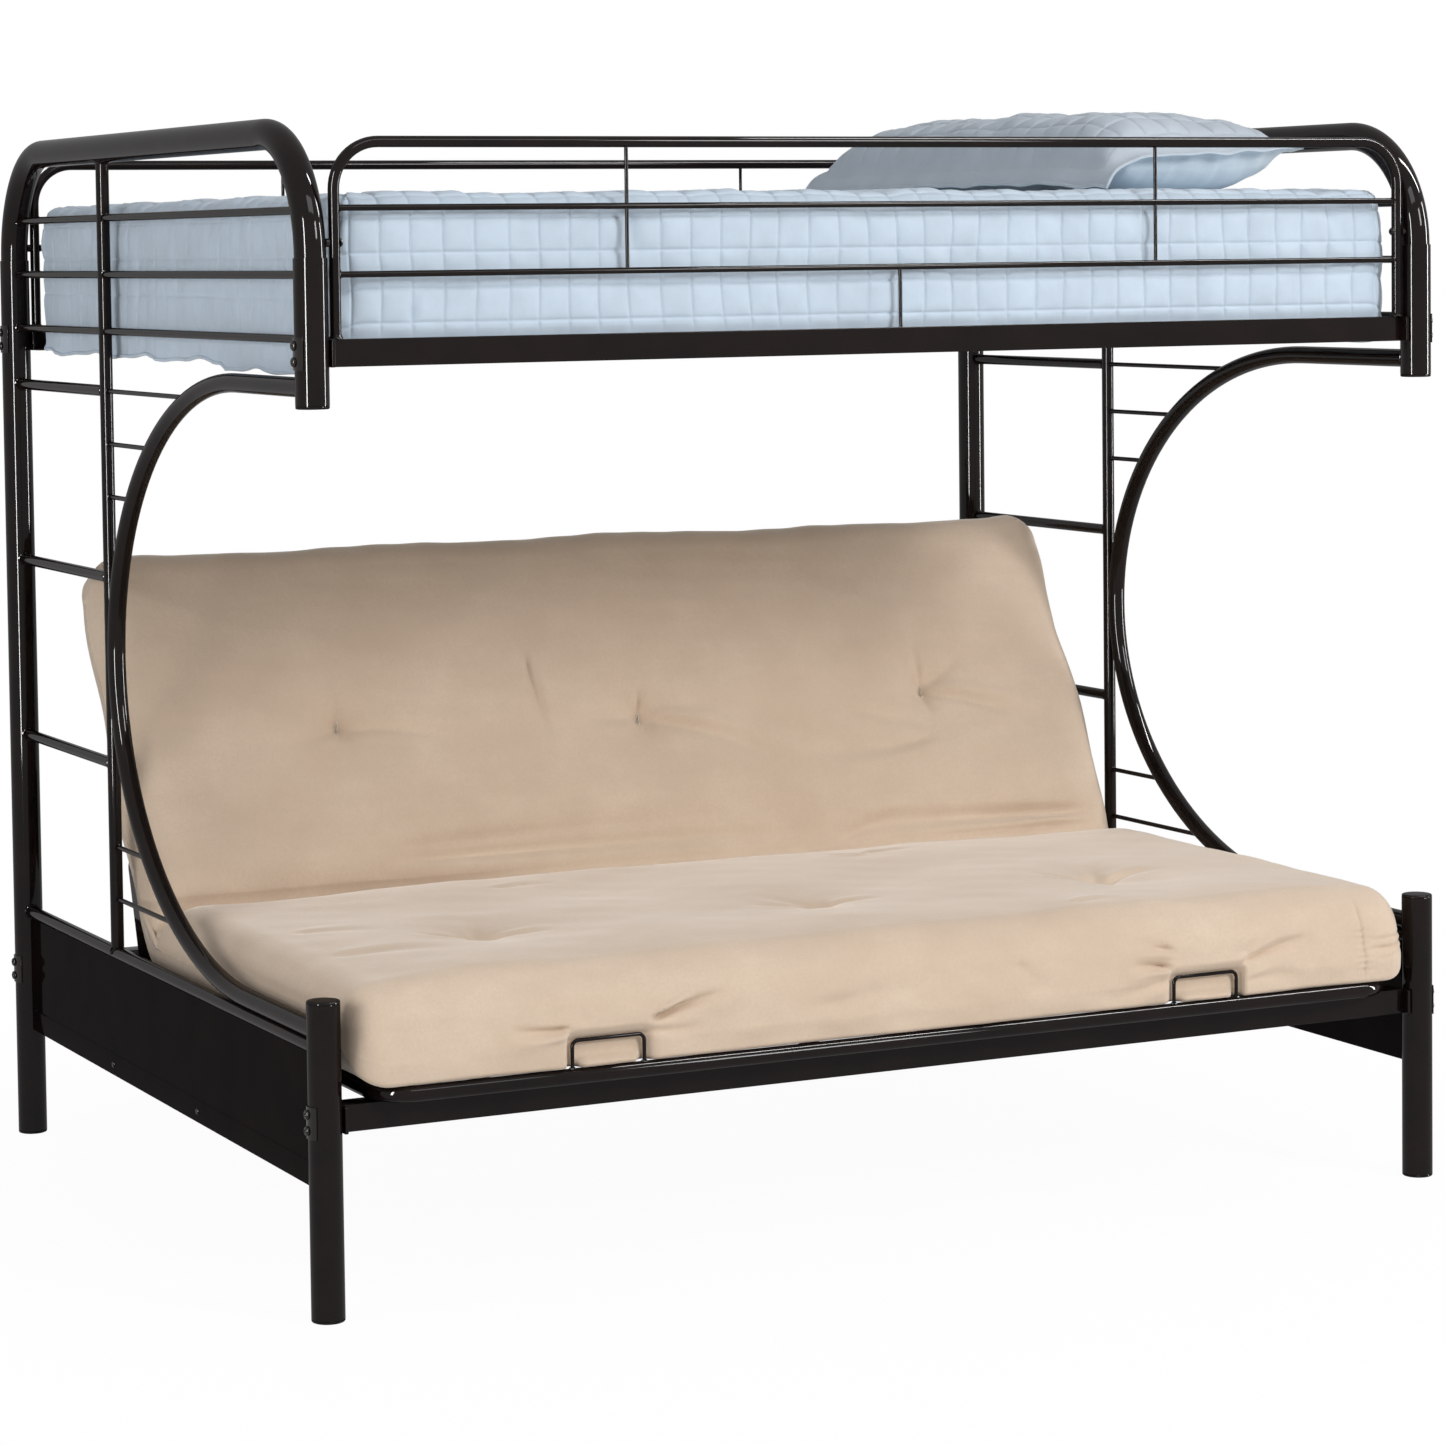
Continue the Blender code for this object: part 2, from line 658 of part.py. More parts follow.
def make_tracks(screw_holes):
    """Pressed track plates that carry the seat and guide the folding back."""
    slack = STUD_R + STUD_SLACK
    beyond = STUD_SLACK / TRACK_R
    first = max(stud_turns(0.0)) + beyond
    last = min(stud_turns(BACK_LEAN)) - beyond
    outline = slot_outline(first, last, slack)
    wall = HALF_X - PANEL_T / 2 - GAP - TRACK_T / 2
    foot_top = TRACK_BOTTOM + TRACK_STEP
    top = PANEL_RAIL_Z - PANEL_RAIL_R - GAP - TRACK_T
    section = (
        (wall, TRACK_BOTTOM), (wall, foot_top), (TRACK_X, foot_top),
        (TRACK_X, top), (wall, top),
    )
    for end, side in ENDS:
        name = f"track_bracket_{end}"
        mesh = bpy.data.meshes.new(name)
        shape = bmesh.new()
        rows = []
        for y in (TRACK_MID_Y - TRACK_HALF, TRACK_MID_Y + TRACK_HALF):
            rows.append([shape.verts.new((side * x, y, z)) for x, z in section])
        for i in range(len(section) - 1):
            shape.faces.new((rows[0][i], rows[0][i + 1], rows[1][i + 1], rows[1][i]))
        shape.to_mesh(mesh)
        shape.free()
        holder = bpy.data.objects.new(name, mesh)
        sheet = holder.modifiers.new("Sheet", "SOLIDIFY")
        sheet.thickness = TRACK_T
        sheet.offset = 0.0
        sheet.use_even_offset = True
        bracket = add_part(name, evaluated_mesh(holder, Matrix.Identity(4)))

        shelf_y = TRACK_MID_Y - TRACK_HALF + SHELF_END
        inner = HALF_X - TRACK_IN - SHELF_IN
        low = (min(side * inner, side * TRACK_X), shelf_y, LOWER_RAIL_TOP - SHELF_T)
        high = (max(side * inner, side * TRACK_X), shelf_y + SHELF_L, LOWER_RAIL_TOP)
        weld_on(bracket, "shelf", box(name, low, high))

        place = Matrix.Translation((side * TRACK_X, 0.0, 0.0)) @ FACING_X
        slot = plate(name + "_slot", outline, TRACK_T + OVERRUN, place)
        combine(bracket, add_cutter(name + "_slot", slot))
        combine(bracket, screw_holes)


def screw_places():
    for _, side in ENDS:
        for offset in (-SCREW_HALF, SCREW_HALF):
            yield side, TRACK_MID_Y + offset, TRACK_BOTTOM + SCREW_UP


def screw_hole_cutter():
    outer = PANEL_T / 2 + PANEL_HEM_T + OVERRUN
    inner = PANEL_T / 2 + TRACK_T + OVERRUN
    paths = []
    for side, y, z in screw_places():
        paths.append([(side * (HALF_X - inner), y, z), (side * (HALF_X + outer), y, z)])
    mesh = tube("screw_holes", paths, SCREW_R + BOLT_SLACK, THIN_SIDES)
    return add_cutter("screw_holes", mesh)


def make_screws():
    reach = PANEL_HEM_T + PANEL_T + TRACK_T + SCREW_HEAD_T
    profile = (
        (0.0, SCREW_HEAD_T), (SCREW_HEAD_R / 2, SCREW_HEAD_T), (SCREW_HEAD_R, 0.0),
        (SCREW_R, 0.0), (SCREW_R, -reach), (0.0, -reach),
    )
    screw = turned("panel_screw", profile, SLIM_SIDES)
    finish_mesh(screw, PAINT, 0.3, 0.6)
    seat = PANEL_T / 2 + PANEL_HEM_T + GAP
    for end, side in ENDS:
        for spot, offset in (("front", -SCREW_HALF), ("rear", SCREW_HALF)):
            place = (side * (HALF_X + seat), TRACK_MID_Y + offset, TRACK_BOTTOM + SCREW_UP)
            add_copy(f"panel_screw_{spot}_{end}", screw, looking((side, 0, 0), place))


def rail_section(inward, low, flange_low):
    """Angle section in (y, z), its web in the plane of the posts' axes."""
    high = low + RAIL_LEG
    face = inward * RAIL_T / 2
    toe = face + inward * (RAIL_LEG - RAIL_T)
    if flange_low:
        top = low + RAIL_T
        return ((-face, low), (toe, low), (toe, top), (face, top), (face, high), (-face, high))
    under = high - RAIL_T
    return ((-face, low), (face, low), (face, under), (toe, under), (toe, high), (-face, high))


def make_rails(bolt_holes):
    """Angle rails with a plate at each end that the through bolts hold."""
    reach = HALF_X - POST_R - GAP
    levels = (("upper", UPPER_RAIL_BOTTOM, True), ("lower", LOWER_RAIL_TOP - RAIL_LEG, False))
    for level, low, flange_low in levels:
        for spot, y in POST_SPOTS:
            inward = -1 if spot == "rear" else 1
            name = f"{level}_rail_{spot}"
            section = rail_section(inward, low, flange_low)
            place = Matrix.Translation((0.0, y, 0.0)) @ FACING_X
            rail = add_part(name, plate(name, section, 2 * (reach - RAIL_PLATE_T / 2), place))
            for end, side in ENDS:
                corners = sorted((side * (reach - RAIL_PLATE_T), side * reach))
                lows = (corners[0], y - RAIL_PLATE_W / 2, low)
                highs = (corners[1], y + RAIL_PLATE_W / 2, low + RAIL_LEG)
                weld_on(rail, f"plate_{end}", box(name, lows, highs))
            combine(rail, bolt_holes)


def make_upper_deck():
    """Cross slats on a strip along each side, lying on the rails' flanges."""
    run = 2 * (HALF_X - SLAT_MARGIN) - SLAT_W
    clear = RAIL_T / 2 + GAP
    strip_low = UPPER_RAIL_BOTTOM + RAIL_T + GAP
    low = (-SLAT_W / 2, FRONT_Y + clear, SLAT_LOW)
    high = (SLAT_W / 2, REAR_Y - clear, SLAT_LOW + SLAT_T)
    slat = box("slat", low, high)
    places = []
    for i in range(SLAT_COUNT):
        x = -run / 2 + run * i / (SLAT_COUNT - 1)
        places.append(Matrix.Translation((x, 0.0, 0.0)))
    deck = add_part("upper_deck", copies("upper_deck", slat, places), roughness=0.35)
    for spot, side_y, inward in (("front", FRONT_Y, 1), ("rear", REAR_Y, -1)):
        ys = sorted((side_y + inward * (clear + SLAT_SINK), side_y + inward * (clear + SLAT_STRIP_W)))
        low = (-run / 2 - SLAT_W / 4, ys[0], strip_low)
        high = (run / 2 + SLAT_W / 4, ys[1], strip_low + SLAT_STRIP_T)
        weld_on(deck, spot, box("strip", low, high))


def make_rail_bolts():
    """Pairs of through bolts, each pair on one saddle plate."""
    seat = POST_R + GAP + SADDLE_T
    shank = seat + POST_R + GAP + RAIL_PLATE_T
    profile = (
        (0.0, BOLT_HEAD_T), (BOLT_HEAD_R / 2, BOLT_HEAD_T), (BOLT_HEAD_R, BOLT_HEAD_T / 3),
        (BOLT_HEAD_R, 0.0), (BOLT_R, -SADDLE_T / 2), (BOLT_R, -shank), (0.0, -shank),
    )
    bolt = turned("rail_bolt", profile, THIN_SIDES)
    inner = POST_R + GAP
    half = BOLT_PITCH / 2 + SADDLE_END
    start = -SADDLE_TURN / 2
    outline = arc((0.0, 0.0), inner + SADDLE_T, start, -start, 4) + arc((0.0, 0.0), inner, -start, start, 4)
    saddle = bpy.data.objects.new("saddle", plate("saddle", outline, 2 * half, Matrix.Identity(4)))
    spots = [looking((1, 0, 0), (seat, 0.0, z)) for z in (-BOLT_PITCH / 2, BOLT_PITCH / 2)]
    weld_on(saddle, "bolts", copies("rail_bolts", bolt, spots))
    pair = finish_mesh(evaluated_mesh(saddle, Matrix.Identity(4)), PAINT, 0.25, 0.6)
    for end, side in ENDS:
        turn = Matrix.Rotation(0.0 if side > 0 else math.pi, 4, "Z")
        for spot, y in POST_SPOTS:
            for level, z in (("upper", UPPER_RAIL_MID), ("lower", LOWER_RAIL_MID)):
                place = Matrix.Translation((side * HALF_X, y, z)) @ turn
                add_copy(f"bolt_pair_{level}_{spot}_{end}", pair, place)


def make_guards(guard_holes):
    """Hoops with their welded rails and short uprights."""
    low_rail_z = GUARD_RAIL_TOP_Z - GUARD_RAIL_PITCH
    top = HOOP_TOP_Z - HOOP_R
    rail_top = UPPER_RAIL_BOTTOM + RAIL_LEG + GAP
    for spot, y in POST_SPOTS:
        name = f"guard_rail_{spot}"
        guard = add_part(name, tube(name, [hoop_path(y)], HOOP_R, TUBE_SIDES))
        paths = [[(-HOOP_X, y, z), (HOOP_X, y, z)] for z in (GUARD_RAIL_TOP_Z, low_rail_z)]
        weld_on(guard, "rails", tube(name, paths, GUARD_RAIL_R, SLIM_SIDES))
        spans = ((0.0, rail_top, low_rail_z), (-PICKET_X, low_rail_z, top), (PICKET_X, low_rail_z, top))
        paths = [[(x, y, low), (x, y, high)] for x, low, high in spans]
        weld_on(guard, "pickets", tube(name, paths, PICKET_R, THIN_SIDES))
        combine(guard, guard_holes)


def make_guard_bolts():
    """Bolt from inside each hoop leg, with the spacer before the bow."""
    seat = HOOP_X - HOOP_R - GAP
    near = 2 * HOOP_R + 2 * GAP
    far = HALF_X - BOW_R - GAP - seat
    shank = far + GAP + GUARD_BOLT_BITE
    profile = (
        (0.0, GUARD_BOLT_HEAD_T), (GUARD_BOLT_HEAD_R / 2, GUARD_BOLT_HEAD_T), (GUARD_BOLT_HEAD_R, 0.0),
        (GUARD_BOLT_R, 0.0), (GUARD_BOLT_R, -near), (SPACER_R, -near), (SPACER_R, -far),
        (GUARD_BOLT_R, -far), (GUARD_BOLT_R, -shank), (0.0, -shank),
    )
    bolt = finish_mesh(turned("guard_bolt", profile, THIN_SIDES), PAINT, 0.3, 0.6)
    for end, side in ENDS:
        for spot, y in POST_SPOTS:
            place = looking((-side, 0, 0), (side * seat, y, GUARD_BOLT_Z))
            add_copy(f"guard_bolt_{spot}_{end}", bolt, place)


def make_caps():
    """Plastic feet, and plugs in the open ends of the front posts."""
    plug = POST_BORE - PLUG_CLEARANCE
    profile = (
        (0.0, CAP_T), (POST_R - CAP_EDGE, CAP_T), (POST_R, CAP_T - CAP_EDGE),
        (POST_R, 0.0), (plug, 0.0), (plug, -PLUG_L), (0.0, -PLUG_L),
    )
    cap = finish_mesh(turned("cap", profile, POST_SIDES), PAINT, 0.4, 0.0)
    for end, side in ENDS:
        x = side * HALF_X
        caps = (
            (f"foot_rear_{end}", -1, REAR_Y, CAP_T),
            (f"foot_front_{end}", -1, FRONT_Y, CAP_T),
            (f"post_cap_{end}", 1, FRONT_Y, LOWER_POST_TOP - CAP_T),
            (f"stub_cap_{end}", -1, FRONT_Y, STUB_BOTTOM - GAP),
        )
        for name, up, y, z in caps:
            add_copy(name, cap, looking((0, 0, up), (x, y, z)))


def make_deck(name, half, low, high, matrix):
    """Flat bars across a frame that lies in the local XY plane, on straps."""
    top = SEAT_TUBE_R
    under = top - DECK_BAR_T
    bar_end = math.sqrt(SEAT_TUBE_R ** 2 - under ** 2) + GAP
    strap_top = under + SLAT_SINK
    strap_low = strap_top - DECK_BAR_T
    strap_end = math.sqrt(SEAT_TUBE_R ** 2 - max(strap_low, 0.0) ** 2) + GAP
    bar = box(name, (-DECK_BAR_W / 2, low + bar_end, under), (DECK_BAR_W / 2, high - bar_end, top))
    count = int((half - SEAT_FRAME_BEND - DECK_BAR_W / 2) / DECK_BAR_PITCH)
    places = [matrix @ Matrix.Translation((i * DECK_BAR_PITCH, 0.0, 0.0)) for i in range(-count, count + 1)]
    deck = add_part(name, copies(name, bar, places), roughness=0.35)
    middle = (low + high) / 2
    lows = (strap_end - half, middle - DECK_STRAP_W / 2, strap_low)
    highs = (half - strap_end, middle + DECK_STRAP_W / 2, strap_top)
    strap = box(name, lows, highs)
    places = [matrix @ Matrix.Translation((0.0, i * DECK_STRAP_OUT, 0.0)) for i in (-1, 1)]
    weld_on(deck, "straps", copies(name, strap, places))
    return deck


def make_seat():
    level = Matrix.Translation((0.0, 0.0, SEAT_Z))
    outline = loop_path(SEAT_FRAME_HALF, SEAT_FRONT_Y, SEAT_BACK_Y, SEAT_FRAME_BEND)
    path = [level @ Vector((x, y, 0.0)) for x, y in outline]
    frame = add_part("seat_frame", tube("seat_frame", [path], SEAT_TUBE_R, TUBE_SIDES, closed=True))
    make_deck("seat_deck", SEAT_FRAME_HALF, SEAT_FRONT_Y, SEAT_BACK_Y, level)

    foot = SEAT_Z + SEAT_TUBE_R / 2
    top = SEAT_Z + SEAT_TUBE_R + STOPPER_RISE
    half = STOPPER_W / 2
    bend_z = top - STOPPER_BEND
    left = arc((STOPPER_BEND - half, bend_z), STOPPER_BEND, math.pi, math.pi / 2, 3)
    right = arc((half - STOPPER_BEND, bend_z), STOPPER_BEND, math.pi / 2, 0, 3)
    bend = [(-half, foot)] + left + right + [(half, foot)]
    paths = [[(x + middle, SEAT_FRONT_Y, z) for x, z in bend] for middle in (-STOPPER_X, STOPPER_X)]
    weld_on(frame, "stoppers", tube("stoppers", paths, STOPPER_R, THIN_SIDES))


def arm_outline(spots):
    """Arm from the back frame's lower end down past both studs, in (y, z)."""
    near = BACK_DEPTH - SEAT_TUBE_R
    far = BACK_DEPTH + SEAT_TUBE_R
    upper, lower = spots
    tip = lower[0] - ARM_TIP
    corners = (
        (ARM_TAIL, near), (ARM_TAIL, far), (upper[0], upper[1] + SEAT_TUBE_R),
        (tip, lower[1] + SEAT_TUBE_R), (tip, lower[1] - SEAT_TUBE_R), (upper[0], near),
    )
    return rounded([back_point(along, depth) for along, depth in corners], ARM_ROUND, 3)


def make_back(pivot):
    """Frame, deck and arms of the folding back, at its sofa place."""
    matrix = back_matrix()
    outline = loop_path(BACK_FRAME_HALF, BACK_START, BACK_END, SEAT_FRAME_BEND)
    path = [matrix @ Vector((x, y, -BACK_DEPTH)) for x, y in outline]
    frame = add_part("back_frame", tube("back_frame", [path], SEAT_TUBE_R, TUBE_SIDES, closed=True))
    hang(frame, pivot)
    plane = matrix @ Matrix.Translation((0.0, 0.0, -BACK_DEPTH))
    hang(make_deck("back_deck", BACK_FRAME_HALF, BACK_START, BACK_END, plane), pivot)

    spots = [(TRACK_R * math.sin(turn), TRACK_R * math.cos(turn)) for turn in STUD_TURNS]
    corners = arm_outline(spots)
    base = BACK_FRAME_HALF + SEAT_TUBE_R + GAP
    track_in = TRACK_X - TRACK_T / 2 - STUD_SLACK - base
    track_out = TRACK_X + TRACK_T / 2 + STUD_SLACK - base
    head = track_out + STUD_HEAD_T
    profile = (
        (0.0, head), (STUD_HEAD_R, head), (STUD_HEAD_R, track_out), (STUD_R, track_out),
        (STUD_R, track_in), (STUD_HEAD_R, track_in), (STUD_HEAD_R, ARM_T / 2), (0.0, ARM_T / 2),
    )
    stud = turned("guide_stud", profile, SLIM_SIDES)
    for end, side in ENDS:
        name = f"back_arm_{end}"
        place = Matrix.Translation((side * (base + ARM_T / 2), 0.0, 0.0)) @ FACING_X
        arm = add_part(name, plate(name, corners, ARM_T, place))
        places = []
        for along, depth in spots:
            y, z = back_point(along, depth)
            places.append(looking((side, 0, 0), (side * base, y, z)))
        weld_on(arm, "studs", copies(name, stud, places))
        hang(arm, pivot)


def cage(name, low, high, cuts):
    """Box cut into cells by planes, a list of places along each axis."""
    mesh = box(name, low, high)
    shape = bmesh.new()
    shape.from_mesh(mesh)
    for axis, places in enumerate(cuts):
        normal = [0.0, 0.0, 0.0]
        normal[axis] = 1.0
        for place in places:
            point = [0.0, 0.0, 0.0]
            point[axis] = place
            everything = shape.verts[:] + shape.edges[:] + shape.faces[:]
            bmesh.ops.bisect_plane(shape, geom=everything, plane_co=point, plane_no=normal)
    return mesh, shape


def smoothed(name, mesh, shape, matrix, colour):
    shape.to_mesh(mesh)
    shape.free()
    mesh.transform(matrix)
    part = add_part(name, mesh, colour, 0.9)
    soft = part.modifiers.new("Soft", "SUBSURF")
    soft.levels = 1
    soft.render_levels = 1
    return part


def tuft_pull(x, v, row):
    """How far a sewn tuft draws the face in at this place."""
    pull = 0.0
    for tuft in (-TUFT_X, 0.0, TUFT_X):
        away = math.hypot(x - tuft, v - row) / TUFT_REACH
        if away < 1.0:
            pull = max(pull, TUFT_DEPTH * (1.0 - away) ** 2)
    return pull


def make_pad(name, low, high, thick, row, matrix):
    """Mattress half: crowned face, drawn-in sides and a row of tufts.

    The local Z of the face is 0 and the pad lies below it.
    """
    length = high - low
    near = TUFT_REACH * NEAR_SHARE
    columns = [-PAD_HALF + near, -TUFT_X - near, -TUFT_X, -TUFT_X + near, -near]
    columns = columns + [0.0] + [-x for x in reversed(columns)]
    rows = [low + near / 2, row - near, row, row + near, high - near / 2]
    mesh, shape = cage(name, (-PAD_HALF, low, -thick), (PAD_HALF, high, 0.0), (columns, rows, [-thick / 2]))
    for vert in shape.verts:
        x, y, z = vert.co
        across = x / PAD_HALF
        along = 2 * (y - low) / length - 1
        on_top = z > -thick / 4
        on_base = z < -3 * thick / 4
        edge = max(abs(across), abs(along)) > 1 - WELD
        crown = (1 - across ** 4) * (1 - along ** 4)
        if on_top and not edge:
            vert.co.z += PAD_CROWN * crown - tuft_pull(x, y, row)
        if edge and (on_top or on_base):
            vert.co.x -= PAD_ROUND * across if abs(across) > 1 - WELD else 0.0
            vert.co.y -= PAD_ROUND / 2 * along if abs(along) > 1 - WELD else 0.0
        if edge:
            if abs(across) > 1 - WELD:
                vert.co.x -= math.copysign(PAD_DRAWN * (1 - along ** 2), across)
            if abs(along) > 1 - WELD:
                vert.co.y -= math.copysign(PAD_DRAWN * (1 - across ** 2) / 2, along)
    return smoothed(name, mesh, shape, matrix, (0.56, 0.44, 0.33))


def make_pads(pivot):
    low = FRONT_Y - SEAT_NOSE + PAD_FRONT
    high = CREASE_Y - PAD_END_GAP
    place = Matrix.Translation((0.0, 0.0, PAD_TOP_Z))
    thick = PAD_TOP_Z - SEAT_Z - SEAT_TUBE_R - GAP
    make_pad("seat_pad", low, high, thick, CREASE_Y - SEAT_TUFT_BACK, place)
    thick = BACK_DEPTH - SEAT_TUBE_R - GAP
    back = make_pad("back_pad", PAD_END_GAP, BACK_PAD_L, thick, BACK_TUFT_UP, back_matrix())
    hang(back, pivot)


def cover_outline(inset):
    """Plan of the coverlet, drawn in by the inset, as (x, y) points."""
    half_x = COVER_HALF_X - inset
    low = FRONT_Y + COVER_FRONT + inset
    high = REAR_Y - COVER_REAR - inset
    bend = COVER_CORNER - inset * 0.5
    runs = (
        ((half_x - bend, low + bend), -math.pi / 2, (0, 1), 12),
        ((half_x - bend, high - bend), 0.0, (-1, 0), 18),
        ((bend - half_x, high - bend), math.pi / 2, (0, -1), 12),
        ((bend - half_x, low + bend), math.pi, (1, 0), 18),
    )
    spans = {(0, 1): high - low - 2 * bend, (0, -1): high - low - 2 * bend}
    points = []
    for centre, start, (dx, dy), steps in runs:
        corner = arc(centre, bend, start, start + math.pi / 2, 3)
        points += corner
        span = spans.get((dx, dy), 2 * (half_x - bend))
        for i in range(1, steps):
            points.append((corner[-1][0] + dx * span * i / steps, corner[-1][1] + dy * span * i / steps))
    return points


def draped(x, y, depth, drop):
    """Where the cloth hangs: straight along the sides, in folds at the ends."""
    down = max(0.0, (depth - COVER_SHOULDER) / (drop - COVER_SHOULDER))
    past = max(0.0, abs(x) - COVER_HALF_X + COVER_CORNER)
    at_end = (past / COVER_CORNER) ** 2
    turn = 2 * math.pi * y / FOLD_PITCH
    wave = (math.sin(turn) + math.sin(FOLD_BEAT * turn) / 2) / FOLD_BEAT
    side = down * (1 - at_end) * (HEM_SIDE_Z - HEM_END_Z)
    out = FOLD_DEPTH * down * at_end * (1 + wave) / 2
    return x + math.copysign(out, x), y, COVER_TOP - depth + side + HEM_WAVE * down * at_end * wave


def make_bedding():
    side_ease = COVER_T + COVER_EASE
    low = (-COVER_HALF_X + side_ease, FRONT_Y + COVER_FRONT + side_ease, MATTRESS_BOTTOM)
    high = (COVER_HALF_X - side_ease, REAR_Y - COVER_REAR - side_ease, MATTRESS_BOTTOM + MATTRESS_T)
    mattress = add_part("upper_mattress", box("upper_mattress", low, high), (0.80, 0.80, 0.78), 0.9)
    rounding = mattress.modifiers.new("Rounding", "BEVEL")
    rounding.width = MATTRESS_ROUND
    rounding.segments = 3

    drop = COVER_TOP - HEM_END_Z
    rings = (
        (COVER_SHOULDER * 4, 0.0), (COVER_SHOULDER, 0.0), (COVER_SHOULDER / 4, COVER_SHOULDER / 3),
        (0.0, COVER_SHOULDER), (0.0, drop / 2), (0.0, drop),
    )
    mesh = bpy.data.meshes.new("coverlet")
    shape = bmesh.new()
    loops = []
    for inset, depth in rings:
        loop = []
        for x, y in cover_outline(inset):
            loop.append(shape.verts.new(draped(x, y, depth, drop)))
        loops.append(loop)
    shape.faces.new(loops[0])
    count = len(loops[0])
    for upper, lower in zip(loops, loops[1:]):
        for i in range(count):
            j = (i + 1) % count
            shape.faces.new((upper[i], lower[i], lower[j], upper[j]))
    bmesh.ops.recalc_face_normals(shape, faces=shape.faces)
    shape.to_mesh(mesh)
    shape.free()
    coverlet = add_part("coverlet", mesh, (0.55, 0.68, 0.78), 0.9)
    cloth = coverlet.modifiers.new("Cloth", "SOLIDIFY")
    cloth.thickness = COVER_T
    cloth.offset = -1.0
    cloth.use_even_offset = True


def make_pillow():
    """Sham lying across the right end, its outer edge propped higher."""
    low = (-PILLOW_HALF_W, -PILLOW_HALF_L, -PILLOW_FLANGE)
    high = (PILLOW_HALF_W, PILLOW_HALF_L, PILLOW_FLANGE)
    columns = [share * PILLOW_HALF_W for share in (-0.82, -0.5, 0.0, 0.5, 0.82)]
    rows = [share * PILLOW_HALF_L for share in (-0.88, -0.5, 0.0, 0.5, 0.88)]
    mesh, shape = cage("pillow", low, high, (columns, rows, []))
    for vert in shape.verts:
        across = vert.co.x / PILLOW_HALF_W
        along = vert.co.y / PILLOW_HALF_L
        full = math.sqrt(max(0.0, (1 - abs(across) ** 3) * (1 - abs(along) ** 3)))
        seam = PILLOW_LOW_SEAM + (PILLOW_HIGH_SEAM - PILLOW_LOW_SEAM) * (across + 1) / 2
        if vert.co.z > 0:
            vert.co.z += seam + PILLOW_CROWN * full
        else:
            vert.co.z += seam - (seam - PILLOW_FLANGE) * min(1.0, full / PILLOW_REST_SHARE)
        vert.co.x -= PAD_DRAWN * across * (1 - along ** 2)
        vert.co.y -= 2 * PAD_DRAWN * along * (1 - across ** 2)
    turn = Matrix.Rotation(PILLOW_TURN, 4, "Z")
    place = Matrix.Translation((PILLOW_X, REAR_Y - PILLOW_TO_REAR, COVER_TOP + GAP)) @ turn
    smoothed("pillow", mesh, shape, place, (0.60, 0.70, 0.78))


def build():
    bolt_holes = rail_bolt_cutter()
    guard_holes = guard_bolt_cutter()
    screw_holes = screw_hole_cutter()
    make_posts(bolt_holes)
    bow_skins = make_bows(guard_holes)
    make_end_frames(bow_skins)
    make_panels(screw_holes)
    make_tracks(screw_holes)
    make_screws()
    make_rails(bolt_holes)
    make_upper_deck()
    make_rail_bolts()
    make_guards(guard_holes)
    make_guard_bolts()
    make_caps()
    make_seat()
    pivot = bpy.data.objects.new("back_hinge", None)
    pivot.location = (0.0, CREASE_Y, CREASE_Z)
    PARTS.objects.link(pivot)
    make_back(pivot)
    make_pads(pivot)
    make_bedding()
    make_pillow()


build()
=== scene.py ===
"""Looks for the metal loft bed: painted tubes, futon, coverlet and pillow.

Metres, +Z up, -Y is the open front. Everything stands in the frame of the
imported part, whose sizes are repeated here because its source isn't read.
"""

import math

import bmesh
import bpy
import numpy as np
from mathutils import Matrix, Vector


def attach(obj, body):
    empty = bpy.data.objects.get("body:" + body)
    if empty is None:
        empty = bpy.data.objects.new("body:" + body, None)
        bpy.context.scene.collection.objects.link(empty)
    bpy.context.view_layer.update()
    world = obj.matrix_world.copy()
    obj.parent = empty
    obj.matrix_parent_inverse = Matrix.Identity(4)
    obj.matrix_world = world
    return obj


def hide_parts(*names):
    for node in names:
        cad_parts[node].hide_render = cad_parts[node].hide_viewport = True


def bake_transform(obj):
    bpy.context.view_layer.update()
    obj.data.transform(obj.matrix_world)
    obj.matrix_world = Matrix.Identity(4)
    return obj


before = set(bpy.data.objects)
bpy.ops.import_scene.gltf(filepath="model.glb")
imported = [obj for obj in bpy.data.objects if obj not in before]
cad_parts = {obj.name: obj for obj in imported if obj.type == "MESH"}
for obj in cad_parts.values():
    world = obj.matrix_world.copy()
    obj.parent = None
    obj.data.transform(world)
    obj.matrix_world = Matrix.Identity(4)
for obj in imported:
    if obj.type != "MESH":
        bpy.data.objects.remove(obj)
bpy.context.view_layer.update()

# Main frame
HALF_X = 0.980
FRONT_Y = -0.73695
REAR_Y = 0.75855
POST_R = 0.0254
POST_SEAM_Z = 1.570
LOWER_POST_TOP = 0.479
STUB_BOTTOM = 1.3535
BOW_R = 0.0236
BOW_TOP_Z = 1.755
BOW_INSERT = 0.050
GAP = 0.0003
CAP_T = 0.004

# End frames
UPRIGHT_Y = 0.23985
UPRIGHT_R = 0.011
END_RAIL_R = 0.00635
END_RAIL_ZS = (1.640, 1.5455, 1.451)
RUNG_R = 0.0095
RUNG_ZS = (1.351, 1.038, 0.7237)
C_R = 0.015
C_TOP_Z = 1.380
C_LOW_Z = 0.4293
C_MID_Y = -0.40645
C_BACK_Y = 0.21355
C_MID_Z = (C_TOP_Z + C_LOW_Z) / 2
C_HALF = (C_TOP_Z - C_LOW_Z) / 2
C_DEPTH = C_BACK_Y - C_MID_Y
C_ROD_R = 0.004
C_ROD_ZS = (1.351, 1.2625, 1.174, 0.584, 0.4955)
PANEL_RAIL_R = 0.011
PANEL_RAIL_Z = 0.403
PANEL_BOTTOM = 0.190
PANEL_HEM = 0.036
SHEET_T = 0.002

